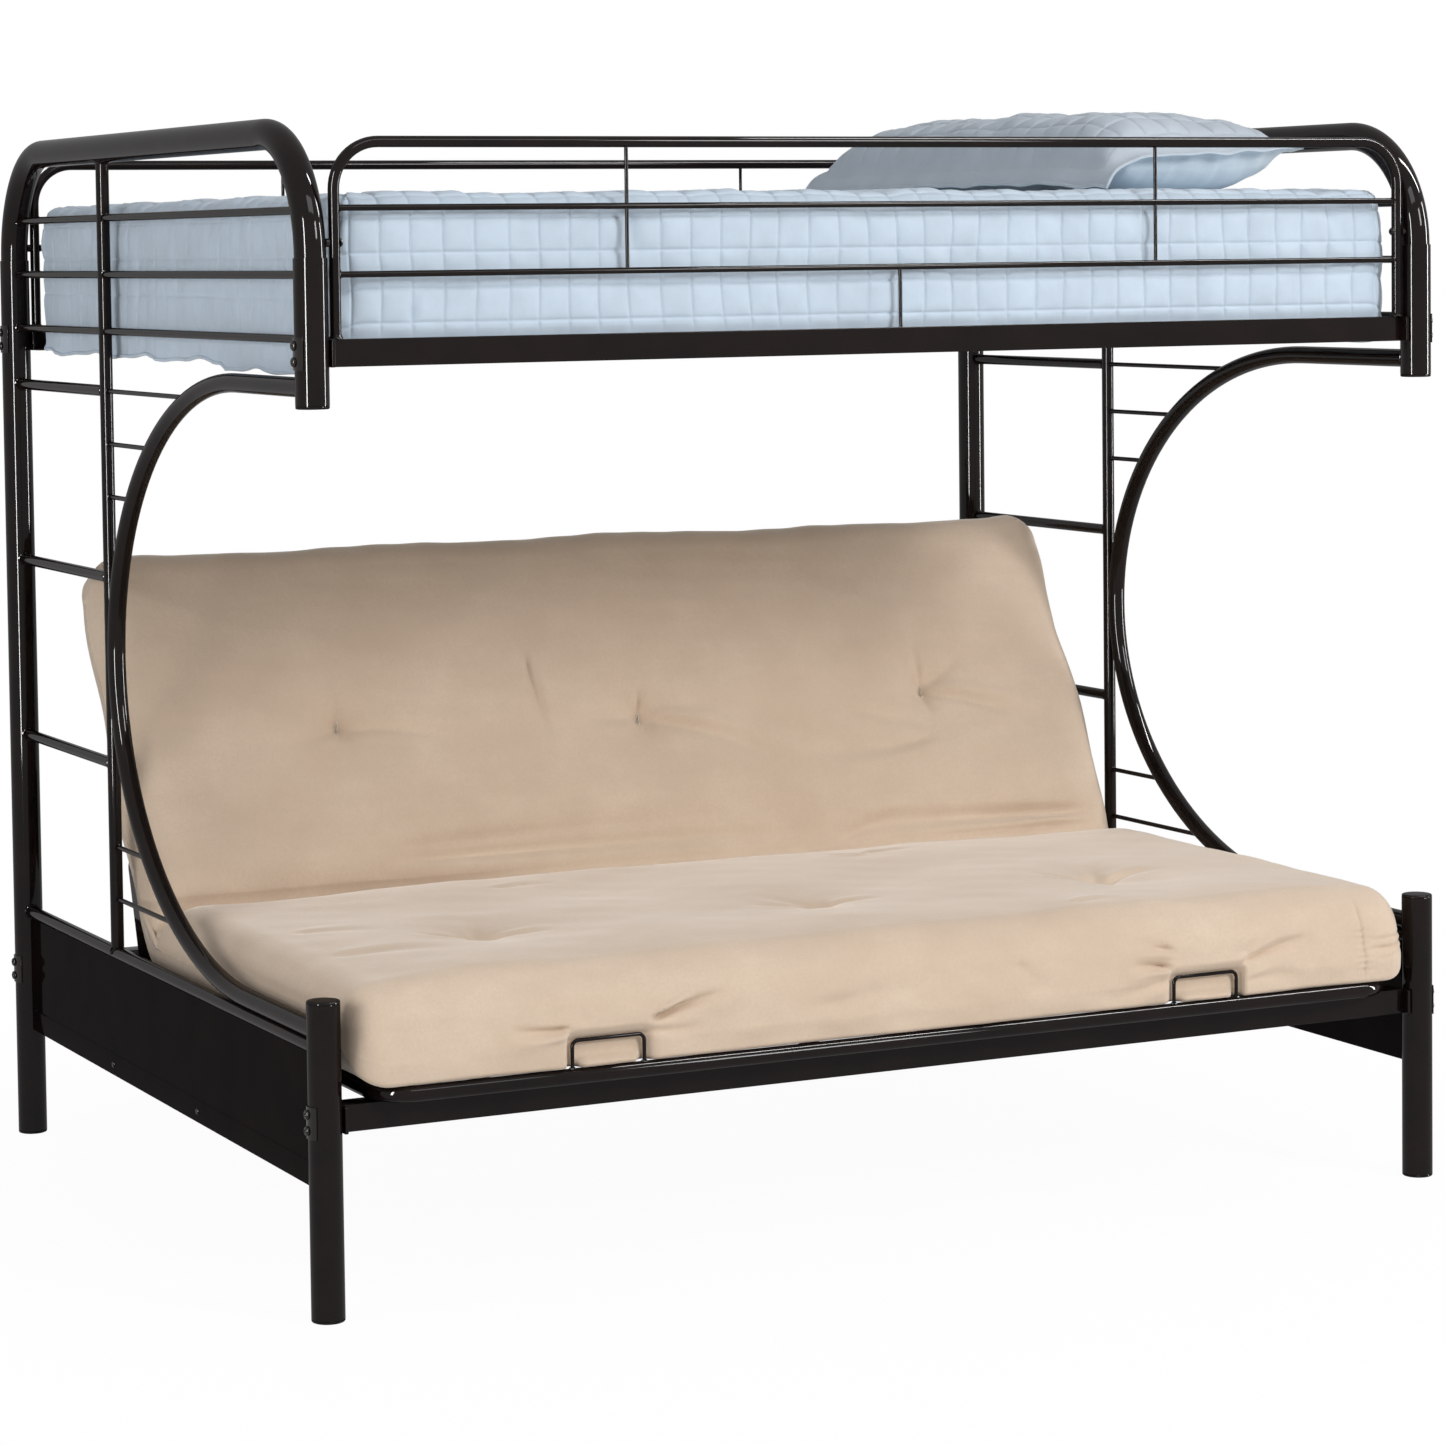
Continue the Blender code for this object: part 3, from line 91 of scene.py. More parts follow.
# Side rails and guards
RAIL_LEG = 0.041
RAIL_T = 0.003
UPPER_RAIL_BOTTOM = 1.410
LOWER_RAIL_TOP = 0.3197
RAIL_LEVELS = (("upper", UPPER_RAIL_BOTTOM), ("lower", LOWER_RAIL_TOP - RAIL_LEG))
RAIL_PLATE_T = 0.005
RAIL_PLATE_W = 0.034
HOOP_R = 0.0085
HOOP_X = 0.942
HOOP_TOP_Z = 1.748
HOOP_BEND_R = 0.070
GUARD_RAIL_R = 0.00475
GUARD_RAIL_ZS = (1.6429, 1.5453)
PICKET_R = 0.003
PICKET_X = 0.470
GUARD_BOLT_Z = 1.592
BOLT_PITCH = 0.024
SADDLE_T = 0.002

# Sofa
CREASE_Y = 0.14155
CREASE_Z = 0.490
BACK_LEAN = math.radians(62)
SEAT_TUBE_R = 0.0125
SEAT_Z = 0.3325
SEAT_FRONT_Y = -0.77145
SEAT_BACK_Y = 0.09855
SEAT_FRAME_HALF = 0.900
SEAT_FRAME_BEND = 0.060
BACK_FRAME_HALF = 0.905
BACK_DEPTH = 0.1565
BACK_START = 0.035
BACK_END = 0.600
STOPPER_R = 0.003
STOPPER_X = 0.535
STOPPER_W = 0.120
STOPPER_RISE = 0.042
STOPPER_BEND = 0.010
TRACK_MID_Y = 0.05005
SCREW_HALF = 0.2165
SCREW_Z = 0.208

# Futon, in its flat state: along from the crease, and up from the face
FUTON_HALF = 0.940
FUTON_FRONT = 0.9020
FUTON_BACK = 0.655
SEAT_FACE_Z = 0.497
SEAT_THICK = 0.1515
BACK_THICK = 0.1435
BACK_TUFTS = ((-0.555, 0.298), (0.018, 0.276), (0.609, 0.295))
SEAT_TUFTS = ((-0.603, -0.582), (-0.014, -0.597), (0.537, -0.588))
SEAM_X = 0.842

# Bedding
COVER_HALF_X = 0.951
COVER_FRONT_Y = -0.72145
COVER_REAR_Y = 0.72855
COVER_MID_Y = (COVER_FRONT_Y + COVER_REAR_Y) / 2
COVER_HALF_Y = (COVER_REAR_Y - COVER_FRONT_Y) / 2
COVER_TOP = 1.6624
COVER_CORNER = 0.060
COVER_SHOULDER = 0.038
COVER_T = 0.006
HEM_SIDE_Z = 1.440
HEM_END_Z = 1.418
COVER_DROP = COVER_TOP - HEM_END_Z
FOLD_PITCH = 0.260
QUILT_CELL = 0.0508
DROP_CELL = 0.058
DROP_LINE = 0.034
MATTRESS_BOTTOM = 1.4276
PILLOW_PLACE = (0.692, -0.02145)
PILLOW_HALF_W = 0.222
PILLOW_HALF_L = 0.445
PILLOW_TURN = math.radians(7.5)
PILLOW_FLANGE = 0.026

# Fineness of the meshes
FINE = 40
MEDIUM = 28
SMALL = 18
BEND_STEPS = 14

# How far a bar's end goes into the tube that it is welded to
WELD_SINK = 0.001
DEEP_SINK = 0.002

ENDS = (("left", -1), ("right", 1))
SPOTS = (("front", FRONT_Y), ("rear", REAR_Y))
UP, BACKWARD, FORWARD = (0, 0, 1), (0, 1, 0), (0, -1, 0)

# Stand a flat outline up, with its height along X or against Y
FACING_X = Matrix(((0, 0, 1, 0), (1, 0, 0, 0), (0, 1, 0, 0), (0, 0, 0, 1)))
FACING_Y = Matrix(((1, 0, 0, 0), (0, 0, -1, 0), (0, 1, 0, 0), (0, 0, 0, 1)))

WHITE = (1, 1, 1, 1)


# Mesh building: a shape is a pair of points and faces

def joined(shapes):
    """Several shapes as one."""
    points, faces, start = [], [], 0
    for shape_points, shape_faces in shapes:
        points.append(np.asarray(shape_points, float))
        faces += [tuple(i + start for i in face) for face in shape_faces]
        start += len(shape_points)
    return np.concatenate(points), faces


def moved(shape, matrix):
    matrix = np.array(matrix)
    return shape[0] @ matrix[:3, :3].T + matrix[:3, 3], shape[1]


def unit(vectors):
    return vectors / np.maximum(np.linalg.norm(vectors, axis=-1, keepdims=True), 1e-12)


def lofted(rings, closed=False, capped=True):
    """Faces between rings of points, each ring round the shape."""
    count, sides = len(rings), len(rings[0])
    points = np.concatenate(rings)
    faces = []
    for i in range(count if closed else count - 1):
        near, far = i * sides, (i + 1) % count * sides
        for j in range(sides):
            k = (j + 1) % sides
            faces.append((near + j, near + k, far + k, far + j))
    if capped and not closed:
        faces.append(tuple(reversed(range(sides))))
        faces.append(tuple(range((count - 1) * sides, count * sides)))
    return points, faces


def zipped(one, other, places):
    """Triangles between two chains of points that run the same way, matched by their places."""
    i = j = 0
    faces = []
    while i < len(one) - 1 or j < len(other) - 1:
        if j == len(other) - 1 or (i < len(one) - 1 and places[one[i + 1]] <= places[other[j + 1]]):
            faces.append((one[i], one[i + 1], other[j]))
            i += 1
        else:
            faces.append((one[i], other[j + 1], other[j]))
            j += 1
    return faces


def bar(path, radius, sides=MEDIUM, closed=False):
    """Round bar along a path, with one radius or one for each point."""
    path = np.asarray(path, float)
    ahead = np.roll(path, -1, axis=0) - path
    behind = np.roll(ahead, 1, axis=0)
    if not closed:
        ahead[-1], behind[0] = ahead[-2], ahead[0]
    tangents = unit(unit(ahead) + unit(behind))
    radii = np.broadcast_to(radius, len(path))
    turns = np.linspace(0, 2 * math.pi, sides, endpoint=False)
    up = np.eye(3)[np.argmin(np.abs(tangents[0]))]
    rings = []
    for point, tangent, size in zip(path, tangents, radii):
        up = unit(up - tangent * (up @ tangent))
        side = np.cross(tangent, up)
        rings.append(point + size * (np.outer(np.cos(turns), up) + np.outer(np.sin(turns), side)))
    return lofted(rings, closed)


def arc(centre, radius, start, end, steps=BEND_STEPS):
    turns = np.linspace(start, end, steps + 1)
    return [(centre[0] + radius * math.cos(t), centre[1] + radius * math.sin(t)) for t in turns]


def round_rings(profile, sides):
    """A ring of points for each (radius, height) of a turned profile."""
    turns = np.linspace(0, 2 * math.pi, sides, endpoint=False)
    return [np.stack([r * np.cos(turns), r * np.sin(turns), np.full(sides, z)], axis=1) for r, z in profile]


def lathe(profile, sides, matrix):
    """Turned shape from (radius, height) pairs, its axis on local Z."""
    return moved(lofted(round_rings([(max(r, 1e-5), z) for r, z in profile], sides)), matrix)


def prism(outline, low, high, matrix):
    """Outline in local XY carried from one height to another."""
    flat = np.array(outline, float)
    rings = [np.column_stack([flat, np.full(len(flat), z)]) for z in (low, high)]
    return moved(lofted(rings), matrix)


def pointed(direction, place):
    """Matrix with local Z along the direction, at the place."""
    turn = Vector(direction).to_track_quat("Z", "Y").to_matrix().to_4x4()
    return Matrix.Translation(place) @ turn


def bead(centre, away, axis, small, large, size=0.0022, sides=24):
    """Weld bead where a bar of radius small leaves one of radius large."""
    centre, away, axis = (np.array(v, float) for v in (centre, away, axis))
    across = np.cross(away, axis)
    turns = np.linspace(0, 2 * math.pi, sides, endpoint=False)
    wide = small + size * 0.2
    depth = np.sqrt(max(large ** 2 - wide ** 2, 0) + (wide * np.cos(turns)) ** 2)
    depth = np.minimum(depth, large)
    lumps = 1 + 0.22 * np.sin(turns * 7 + centre[2] * 40) + 0.12 * np.sin(turns * 11 + centre[1] * 31)
    path = centre + np.outer(depth, away)
    path += wide * (np.outer(np.cos(turns), axis) + np.outer(np.sin(turns), across))
    return bar(path, size * lumps, 8, closed=True)


def strut(x, z, near, far, radius, sides, beads, sunk=WELD_SINK, bead_sides=24):
    """Bar along Y between two tubes, each given as (y, radius), with a weld bead at each."""
    path = [(x, near[0] + near[1] - sunk, z), (x, far[0] - far[1] + WELD_SINK, z)]
    return [
        bar(path, radius, sides),
        bead((x, near[0], z), BACKWARD, UP, radius, near[1], beads[0], bead_sides),
        bead((x, far[0], z), FORWARD, UP, radius, far[1], beads[1], bead_sides),
    ]


def hoop(middle, half, foot, top, bend, steps=BEND_STEPS):
    """Upturned U as flat (across, height) points: two feet, two bends and a level top."""
    left = arc((middle - half + bend, top - bend), bend, math.pi, math.pi / 2, steps)
    right = arc((middle + half - bend, top - bend), bend, math.pi / 2, 0, steps)
    return [(middle - half, foot)] + left + right + [(middle + half, foot)]


def placed(name, mesh, material):
    """The mesh as a smooth object of the scene."""
    mesh.materials.append(material)
    mesh.shade_smooth()
    piece = bpy.data.objects.new(name, mesh)
    bpy.context.scene.collection.objects.link(piece)
    return piece


def make_soft(name, points, faces, material, weld=2e-5, thin=0.0):
    """One object from points and faces: doubles merge, and faces thinner than thin go."""
    mesh = bpy.data.meshes.new(name)
    mesh.from_pydata([tuple(p) for p in points], [], faces)
    tidy = bmesh.new()
    tidy.from_mesh(mesh)
    bmesh.ops.remove_doubles(tidy, verts=tidy.verts, dist=weld)
    if thin:
        bmesh.ops.dissolve_degenerate(tidy, edges=tidy.edges, dist=thin)
    bmesh.ops.recalc_face_normals(tidy, faces=tidy.faces)
    tidy.to_mesh(mesh)
    tidy.free()
    return placed(name, mesh, material)


def make_piece(name, shapes, material, body, replaced, sharp=40):
    """One object from shapes, riding on its body and standing for CAD nodes; sharp is in degrees."""
    piece = make_soft(name, *joined(shapes), material, weld=1e-6, thin=1e-7)
    if sharp:
        piece.data.set_sharp_from_angle(angle=math.radians(sharp))
    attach(piece, body)
    if replaced:
        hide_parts(*replaced)
    return piece


def ease(piece, width):
    """Rounds the piece's sharp edges off."""
    bevel = piece.modifiers.new("Eased", "BEVEL")
    bevel.width = width
    bevel.segments = 2
    bevel.limit_method = "ANGLE"
    bevel.angle_limit = math.radians(40)


# Materials

class Nodes:
    """A node tree and short ways to add to it."""

    def __init__(self, owner, emptied=True):
        owner.use_nodes = True
        self.tree = owner.node_tree
        if emptied:
            self.tree.nodes.clear()

    def give(self, socket, value):
        """Sets a socket, or links it where the value is another node's output."""
        if isinstance(value, bpy.types.NodeSocket):
            self.tree.links.new(value, socket)
        else:
            socket.default_value = value

    def node(self, kind, inputs=(), **settings):
        node = self.tree.nodes.new("ShaderNode" + kind)
        for key, value in settings.items():
            setattr(node, key, value)
        for key, value in dict(inputs).items():
            self.give(node.inputs[key], value)
        return node

    def spread(self, source, low, high, out_low=0.0, out_high=1.0):
        inputs = {"Value": source, "From Min": low, "From Max": high, "To Min": out_low, "To Max": out_high}
        return self.node("MapRange", inputs).outputs["Result"]

    def maths(self, operation, *values):
        return self.node("Math", enumerate(values), operation=operation).outputs["Value"]

    def seen(self):
        """1 for rays of the camera, reflections and glass, and 0 for light's own."""
        rays = self.node("LightPath").outputs
        direct = self.maths("MAXIMUM", rays["Is Camera Ray"], rays["Is Glossy Ray"])
        return self.maths("MAXIMUM", direct, rays["Is Transmission Ray"])

    def end(self, output, factor, plain, white):
        """Ends the tree with the plain shader mixed into the white one by the factor."""
        mix = self.node("MixShader", {"Fac": factor, 1: plain.outputs[0], 2: white.outputs[0]})
        self.node(output, {"Surface": mix.outputs[0]})


class Shader(Nodes):
    """A Principled material."""

    def __init__(self, name, colour, roughness, **levels):
        self.material = bpy.data.materials.new(name)
        super().__init__(self.material, emptied=False)
        self.out = self.tree.nodes["Principled BSDF"]
        self.set("Base Color", (*colour, 1.0))
        self.set("Roughness", roughness)
        for socket, value in levels.items():
            self.set(socket.replace("_", " "), value)
        self.place = self.node("TexCoord").outputs["Object"]

    def set(self, socket, value):
        self.give(self.out.inputs[socket], value)

    def split(self, vector):
        return self.node("SeparateXYZ", {"Vector": vector}).outputs

    def stretched(self, scale):
        """The place with each axis scaled."""
        return self.node("Mapping", {"Vector": self.place, "Scale": scale}).outputs["Vector"]

    def noise(self, scale, detail=3.0, rough=0.5, place=None):
        inputs = {"Vector": place or self.place, "Scale": scale, "Detail": detail, "Roughness": rough}
        return self.node("TexNoise", inputs).outputs["Fac"]

    def mixed(self, factor, *tones):
        one, other = ((*tone, 1.0) if isinstance(tone, tuple) else tone for tone in tones)
        return self.node("Mix", {"Factor": factor, 6: one, 7: other}, data_type="RGBA").outputs[2]

    def bumps(self, *layers):
        """Bump layers in turn: (height, strength, distance)."""
        normal = {}
        for layer in layers:
            inputs = dict(zip(("Height", "Strength", "Distance"), layer))
            normal = {"Normal": self.node("Bump", {**inputs, **normal}).outputs["Normal"]}
        self.set("Normal", normal["Normal"])


def paint_material(name, colour, roughness, gloss):
    """Black enamel: a soft base with faint orange peel under a thin glossy coat."""
    paint = Shader(
        name, colour, roughness, Specular_IOR_Level=0.0,
        Coat_Weight=gloss, Coat_Roughness=0.055, Coat_IOR=1.5,
    )
    warm = tuple(c * w for c, w in zip(colour, (1.7, 1.45, 1.35)))
    cloud = paint.spread(paint.noise(11.0, 4.0, 0.6), 0.35, 0.65)
    paint.set("Base Color", paint.mixed(cloud, colour, warm))
    paint.set("Roughness", paint.spread(paint.noise(38.0), 0.3, 0.7, roughness - 0.03, roughness + 0.05))
    paint.bumps((paint.noise(620.0, 2.0), 0.06, 0.0002), (paint.noise(95.0, 2.0), 0.08, 0.0004))
    return paint.material


def cloth_weave(shader, pitch):
    """Height of a plain weave that shows on any face: threads along the three axes."""
    turns = 2 * math.pi / pitch
    split = shader.split(shader.place)
    threads = [shader.maths("SINE", shader.maths("MULTIPLY", split[axis], turns)) for axis in "XYZ"]
    total = shader.maths("ADD", shader.maths("ADD", *threads[:2]), threads[2])
    return shader.spread(total, -2.0, 2.0)


def suede_material():
    """Beige microsuede with the soft clouds of a brushed nap."""
    suede = Shader(
        "futon_suede", (0.71, 0.567, 0.43), 0.92,
        Sheen_Weight=0.75, Sheen_Roughness=0.40, Specular_IOR_Level=0.1,
    )
    suede.set("Sheen Tint", (1.0, 0.95, 0.90, 1.0))
    cloud = suede.spread(suede.noise(5.5, 5.0, 0.62), 0.30, 0.72)
    nap = suede.spread(suede.noise(30.0, 4.0, 0.6, suede.stretched((0.35, 1.0, 1.0))), 0.30, 0.70)
    fleck = suede.spread(suede.noise(210.0, 3.0, 0.7), 0.35, 0.75, 0.0, 0.38)
    fibre = suede.noise(1500.0, 2.0, 0.6)
    tone = suede.mixed(cloud, (0.655, 0.505, 0.375), (0.770, 0.622, 0.480))
    tone = suede.mixed(suede.maths("MULTIPLY", nap, 0.45), tone, (0.655, 0.512, 0.388))
    tone = suede.mixed(fleck, tone, (0.58, 0.45, 0.345))
    tone = suede.mixed(suede.spread(fibre, 0.3, 0.7, 0.0, 0.20), tone, (0.54, 0.43, 0.35))
    suede.set("Base Color", tone)
    weave = cloth_weave(suede, 0.0022)
    suede.bumps((suede.noise(75.0, 5.0, 0.6), 0.26, 0.0022), (weave, 0.10, 0.0003), (fibre, 0.25, 0.0004))
    return suede.material


def quilt_material(name, colour, backing_and_painted_light=None):
    """Pale blue cotton with fine threads, and a paler plain back on faces that look down: partly its own
    fabric, partly painted light.
    """
    shade, dark = (tuple(c * share for c in colour) for share in (0.90, 0.8))
    cotton = Shader(name, colour, 0.85, Sheen_Weight=0.12, Sheen_Roughness=0.5, Specular_IOR_Level=0.25)
    cloud = cotton.spread(cotton.noise(16.0, 4.0, 0.6), 0.32, 0.70)
    thread = cotton.noise(1100.0, 2.0, 0.5)
    tone = cotton.mixed(cloud, shade, colour)
    tone = cotton.mixed(cotton.spread(thread, 0.35, 0.7, 0.0, 0.14), tone, dark)
    if backing_and_painted_light:
        # faces that look down take the paler colour: painted light on the lit underside, as well as the plain
        # back fabric
        height = cotton.split(cotton.node("NewGeometry").outputs["Normal"])["Z"]
        tone = cotton.mixed(cotton.spread(height, -0.25, -0.05, 1.0, 0.0), tone, backing_and_painted_light)
    cotton.set("Base Color", tone)
    weave = cloth_weave(cotton, 0.0016)
    cotton.bumps((cotton.noise(120.0, 4.0, 0.6), 0.18, 0.0015), (weave, 0.16, 0.0003), (thread, 0.15, 0.0003))
    return cotton.material


PAINT = paint_material("black_paint", (0.0062, 0.0042, 0.0038), 0.30, 0.28)
# The end panels take a darker, less glossy copy of the paint: painted shade, standing in for the dark
# surroundings that they reflect.
SHADED_SHEET_PAINT = paint_material("black_sheet_paint_painted_shade", (0.0042, 0.0030, 0.0029), 0.30, 0.045)
HARDWARE = paint_material("black_hardware", (0.009, 0.008, 0.007), 0.25, 0.50)
PLASTIC = paint_material("black_plastic", (0.011, 0.010, 0.010), 0.40, 0.15)
SUEDE = suede_material()
COTTON = quilt_material("coverlet_cotton", (0.560, 0.660, 0.765))
# The pillow's cotton is darker than the coverlet's, partly its own tone and partly painted shade for its
# shaded side; faces that look down are paler, partly painted light.
SHAM_PAINTED_LIGHT_AND_SHADE = quilt_material("pillow_cotton_painted_light_and_shade", (0.500, 0.565, 0.640), backing_and_painted_light=(0.670, 0.760, 0.825))
TICKING = quilt_material("mattress_ticking", (0.70, 0.70, 0.68))
THREAD = quilt_material("tuft_thread", (0.78, 0.73, 0.64))


def painted(name, shapes, node, body="root", material=PAINT):
    return make_piece(name, shapes, material, body, (node,))


def hardware(name, shapes, node):
    return painted(name, shapes, node, material=HARDWARE)


# Frame

def post_shape(x, y, low, high):
    """Tube with rolled rims, open at both ends."""
    wall, lip = 0.0013, 0.0005
    inner = POST_R - wall
    profile = (
        (inner, low), (POST_R - lip, low), (POST_R, low + lip),
        (POST_R, high - lip), (POST_R - lip, high), (inner, high),
    )
    return moved(lofted(round_rings(profile, FINE), closed=True), Matrix.Translation((x, y, 0.0)))


def make_posts():
    foot = CAP_T + GAP
    rows = (
        ("rear_post_tube", "rear_post", REAR_Y, foot, POST_SEAM_Z),
        ("stub_tube", "front_upper_post", FRONT_Y, STUB_BOTTOM, POST_SEAM_Z),
        ("front_post_tube", "front_lower_post", FRONT_Y, foot, LOWER_POST_TOP - foot),
    )
    for end, side in ENDS:
        for name, node, y, low, high in rows:
            painted(f"{name}_{end}", [post_shape(side * HALF_X, y, low, high)], f"{node}_{end}")


def make_bows():
    bend = BOW_TOP_Z - POST_SEAM_Z
    rear = arc((REAR_Y - bend, POST_SEAM_Z), bend, 0, math.pi / 2, 24)
    front = arc((FRONT_Y + bend, POST_SEAM_Z), bend, math.pi / 2, math.pi, 24)
    tail = POST_SEAM_Z - BOW_INSERT
    flat = [(REAR_Y, tail)] + rear + front + [(FRONT_Y, tail)]
    for end, side in ENDS:
        tube = bar([(side * HALF_X, y, z) for y, z in flat], BOW_R, FINE)
        painted(f"bow_tube_{end}", [tube], f"top_bow_{end}")


def bow_inset(z):
    """How far the bow's bend has drawn in from the post's axis at a height."""
    bend = BOW_TOP_Z - POST_SEAM_Z
    rise = max(z - POST_SEAM_Z, 0.0)
    return bend - math.sqrt(bend ** 2 - rise ** 2)


def c_curve():
    turns = np.linspace(math.pi / 2, -math.pi / 2, 73)
    return [(C_MID_Y + C_DEPTH * math.cos(t), C_MID_Z + C_HALF * math.sin(t)) for t in turns]


def c_reach(z):
    """How far back the C tube's axis is at a height."""
    return C_MID_Y + C_DEPTH * math.sqrt(1 - ((z - C_MID_Z) / C_HALF) ** 2)


def make_ends():
    """C tubes, panel rails and ladder frames, with their welds."""
    front_post, rear_post, upright = (FRONT_Y, POST_R), (REAR_Y, POST_R), (UPRIGHT_Y, UPRIGHT_R)
    meets = FRONT_Y + POST_R - DEEP_SINK
    for end, side in ENDS:
        x = side * HALF_X
        path = [(x, y, z) for y, z in [(meets, C_TOP_Z)] + c_curve() + [(meets, C_LOW_Z)]]
        shapes = [bar(path, C_R, FINE)]
        for z in (C_TOP_Z, C_LOW_Z):
            shapes.append(bead((x, FRONT_Y, z), BACKWARD, UP, C_R, POST_R, 0.0028, 36))
        painted(f"c_bar_{end}", shapes, f"c_tube_{end}")

        shapes = strut(x, PANEL_RAIL_Z, front_post, rear_post, PANEL_RAIL_R, MEDIUM, (0.0024, 0.0024))
        painted(f"panel_rail_bar_{end}", shapes, f"panel_top_rail_{end}")

        top = BOW_TOP_Z - BOW_R + WELD_SINK
        low = PANEL_RAIL_Z + PANEL_RAIL_R - WELD_SINK
        shapes = [bar([(x, UPRIGHT_Y, low), (x, UPRIGHT_Y, top)], UPRIGHT_R)]
        shapes.append(bead((x, UPRIGHT_Y, BOW_TOP_Z), (0, 0, -1), BACKWARD, UPRIGHT_R, BOW_R, 0.0024))
        shapes.append(bead((x, UPRIGHT_Y, PANEL_RAIL_Z), UP, BACKWARD, UPRIGHT_R, PANEL_RAIL_R, 0.0022))
        for z in END_RAIL_ZS:
            inset = bow_inset(z)
            shell = BOW_R if z > POST_SEAM_Z else POST_R
            near, far = (FRONT_Y + inset, shell), (REAR_Y - inset, shell)
            shapes += strut(x, z, near, far, END_RAIL_R, SMALL, (0.0022, 0.0022))
            for way in (BACKWARD, FORWARD):
                shapes.append(bead((x, UPRIGHT_Y, z), way, UP, END_RAIL_R, UPRIGHT_R, 0.0018))
        for z in RUNG_ZS:
            shapes += strut(x, z, upright, rear_post, RUNG_R, MEDIUM, (0.0020, 0.0022), DEEP_SINK)
        for z in C_ROD_ZS:
            curve = (c_reach(z), C_R)
            shapes += strut(x, z, curve, upright, C_ROD_R, SMALL, (0.0014, 0.0014), 0.1 * C_R, 18)
        painted(f"ladder_frame_{end}", shapes, f"end_ladder_{end}")


def rounded_outline(corners, radius, steps=4):
    """Outline with each corner rounded off."""
    points = []
    for i, corner in enumerate(corners):
        here = Vector(corner)
        before = (Vector(corners[i - 1]) - here).normalized()
        after = (Vector(corners[(i + 1) % len(corners)]) - here).normalized()
        half = before.angle(after) / 2
        centre = here + (before + after).normalized() * radius / math.sin(half)
        spokes = [here + way * radius / math.tan(half) - centre for way in (before, after)]
        for k in range(steps + 1):
            share = k / steps
            spoke = (spokes[0] * (1 - share) + spokes[1] * share).normalized() * radius
            points.append(tuple(centre + spoke))
    return points


def make_panels():
    """Sheet end panels with a rolled hem and pressed upper edge."""
    top = PANEL_RAIL_Z - PANEL_RAIL_R - GAP
    face = SHEET_T / 2
    lip = face + SHEET_T
    hem_top = PANEL_BOTTOM + PANEL_HEM
    outline = rounded_outline(
        (
            (-face, PANEL_BOTTOM), (lip, PANEL_BOTTOM), (lip, hem_top),
            (face, hem_top + SHEET_T), (face, top), (-face, top),
        ),
        0.0007, 3,
    )
    low = FRONT_Y + POST_R + GAP
    high = REAR_Y - POST_R - GAP
    for end, side in ENDS:
        across = [(side * u, z) for u, z in outline]
        place = Matrix.Translation((side * HALF_X, 0.0, 0.0)) @ FACING_Y
        sheet = [prism(across, -high, -low, place)]
        # the sheet takes the darker copy of the paint, which is painted shade
        painted(f"panel_sheet_{end}", sheet, f"end_panel_{end}", material=SHADED_SHEET_PAINT)


def make_screws():
    head = (
        (0.0, 0.0018), (0.0012, 0.0021), (0.0030, 0.0019),
        (0.0045, 0.0010), (0.0050, 0.0), (0.0, -0.0010),
    )
    for end, side in ENDS:
        for spot, offset in (("front", -SCREW_HALF), ("rear", SCREW_HALF)):
            place = (side * (HALF_X + 1.5 * SHEET_T + GAP), TRACK_MID_Y + offset, SCREW_Z)
            shape = lathe(head, 24, pointed((side, 0, 0), place))
            hardware(f"screw_head_{spot}_{end}", [shape], f"panel_screw_{spot}_{end}")


def make_side_rails():
    """Angle rails with welded end plates, the flange low on the upper rails and on top of the lower."""
    reach = HALF_X - POST_R - GAP
    weld = reach - RAIL_PLATE_T
    middle = reach - RAIL_PLATE_T / 2
    face, half = RAIL_T / 2, RAIL_PLATE_W / 2
    toe = face + RAIL_LEG - RAIL_T
    for level, low in RAIL_LEVELS:
        high, step = low + RAIL_LEG, low + RAIL_T
        corners = ((-face, low), (toe, low), (toe, step), (face, step), (face, high), (-face, high))
        if level == "lower":
            corners = [(u, low + high - z) for u, z in reversed(corners)]
        plate = rounded_outline(((-half, low), (half, low), (half, high), (-half, high)), 0.0025)
        for spot, y in SPOTS:
            inward = -1 if spot == "rear" else 1
            outline = [(inward * u, z) for u, z in rounded_outline(corners, 0.0011)]
            place = Matrix.Translation((0.0, y, 0.0)) @ FACING_X
            shapes = [prism(outline, -middle, middle, place)]
            for near, far in ((-reach, -weld), (weld, reach)):
                shapes.append(prism(plate, near, far, place))
            ease(painted(f"{level}_angle_{spot}", shapes, f"{level}_rail_{spot}"), 0.0006)


def make_rail_bolts():
    """Low domed heads with a socket, two on each saddle plate."""
    head = (
        (0.0, 0.0016), (0.0024, 0.0016), (0.0026, 0.0036), (0.0044, 0.0041), (0.0062, 0.0034),
        (0.0074, 0.0016), (0.0075, 0.0), (0.0, -0.0010),
    )
    wrap = math.radians(42)
    inner = POST_R + GAP
    outer = inner + SADDLE_T
    half = BOLT_PITCH / 2 + 0.012
    outline = arc((0, 0), outer, -wrap, wrap, 16) + arc((0, 0), inner, wrap, -wrap, 16)
    for end, side in ENDS:
        spin = Matrix.Rotation(0.0 if side > 0 else math.pi, 4, "Z")
        for spot, y in SPOTS:
            for level, low in RAIL_LEVELS:
                place = Matrix.Translation((side * HALF_X, y, low + RAIL_LEG / 2)) @ spin
                shapes = [prism(outline, -half, half, place)]
                for offset in (-BOLT_PITCH / 2, BOLT_PITCH / 2):
                    shapes.append(lathe(head, 24, place @ pointed((1, 0, 0), (outer, 0, offset))))
                spots = f"{level}_{spot}_{end}"
                ease(hardware(f"saddle_bolts_{spots}", shapes, f"bolt_pair_{spots}"), 0.0004)


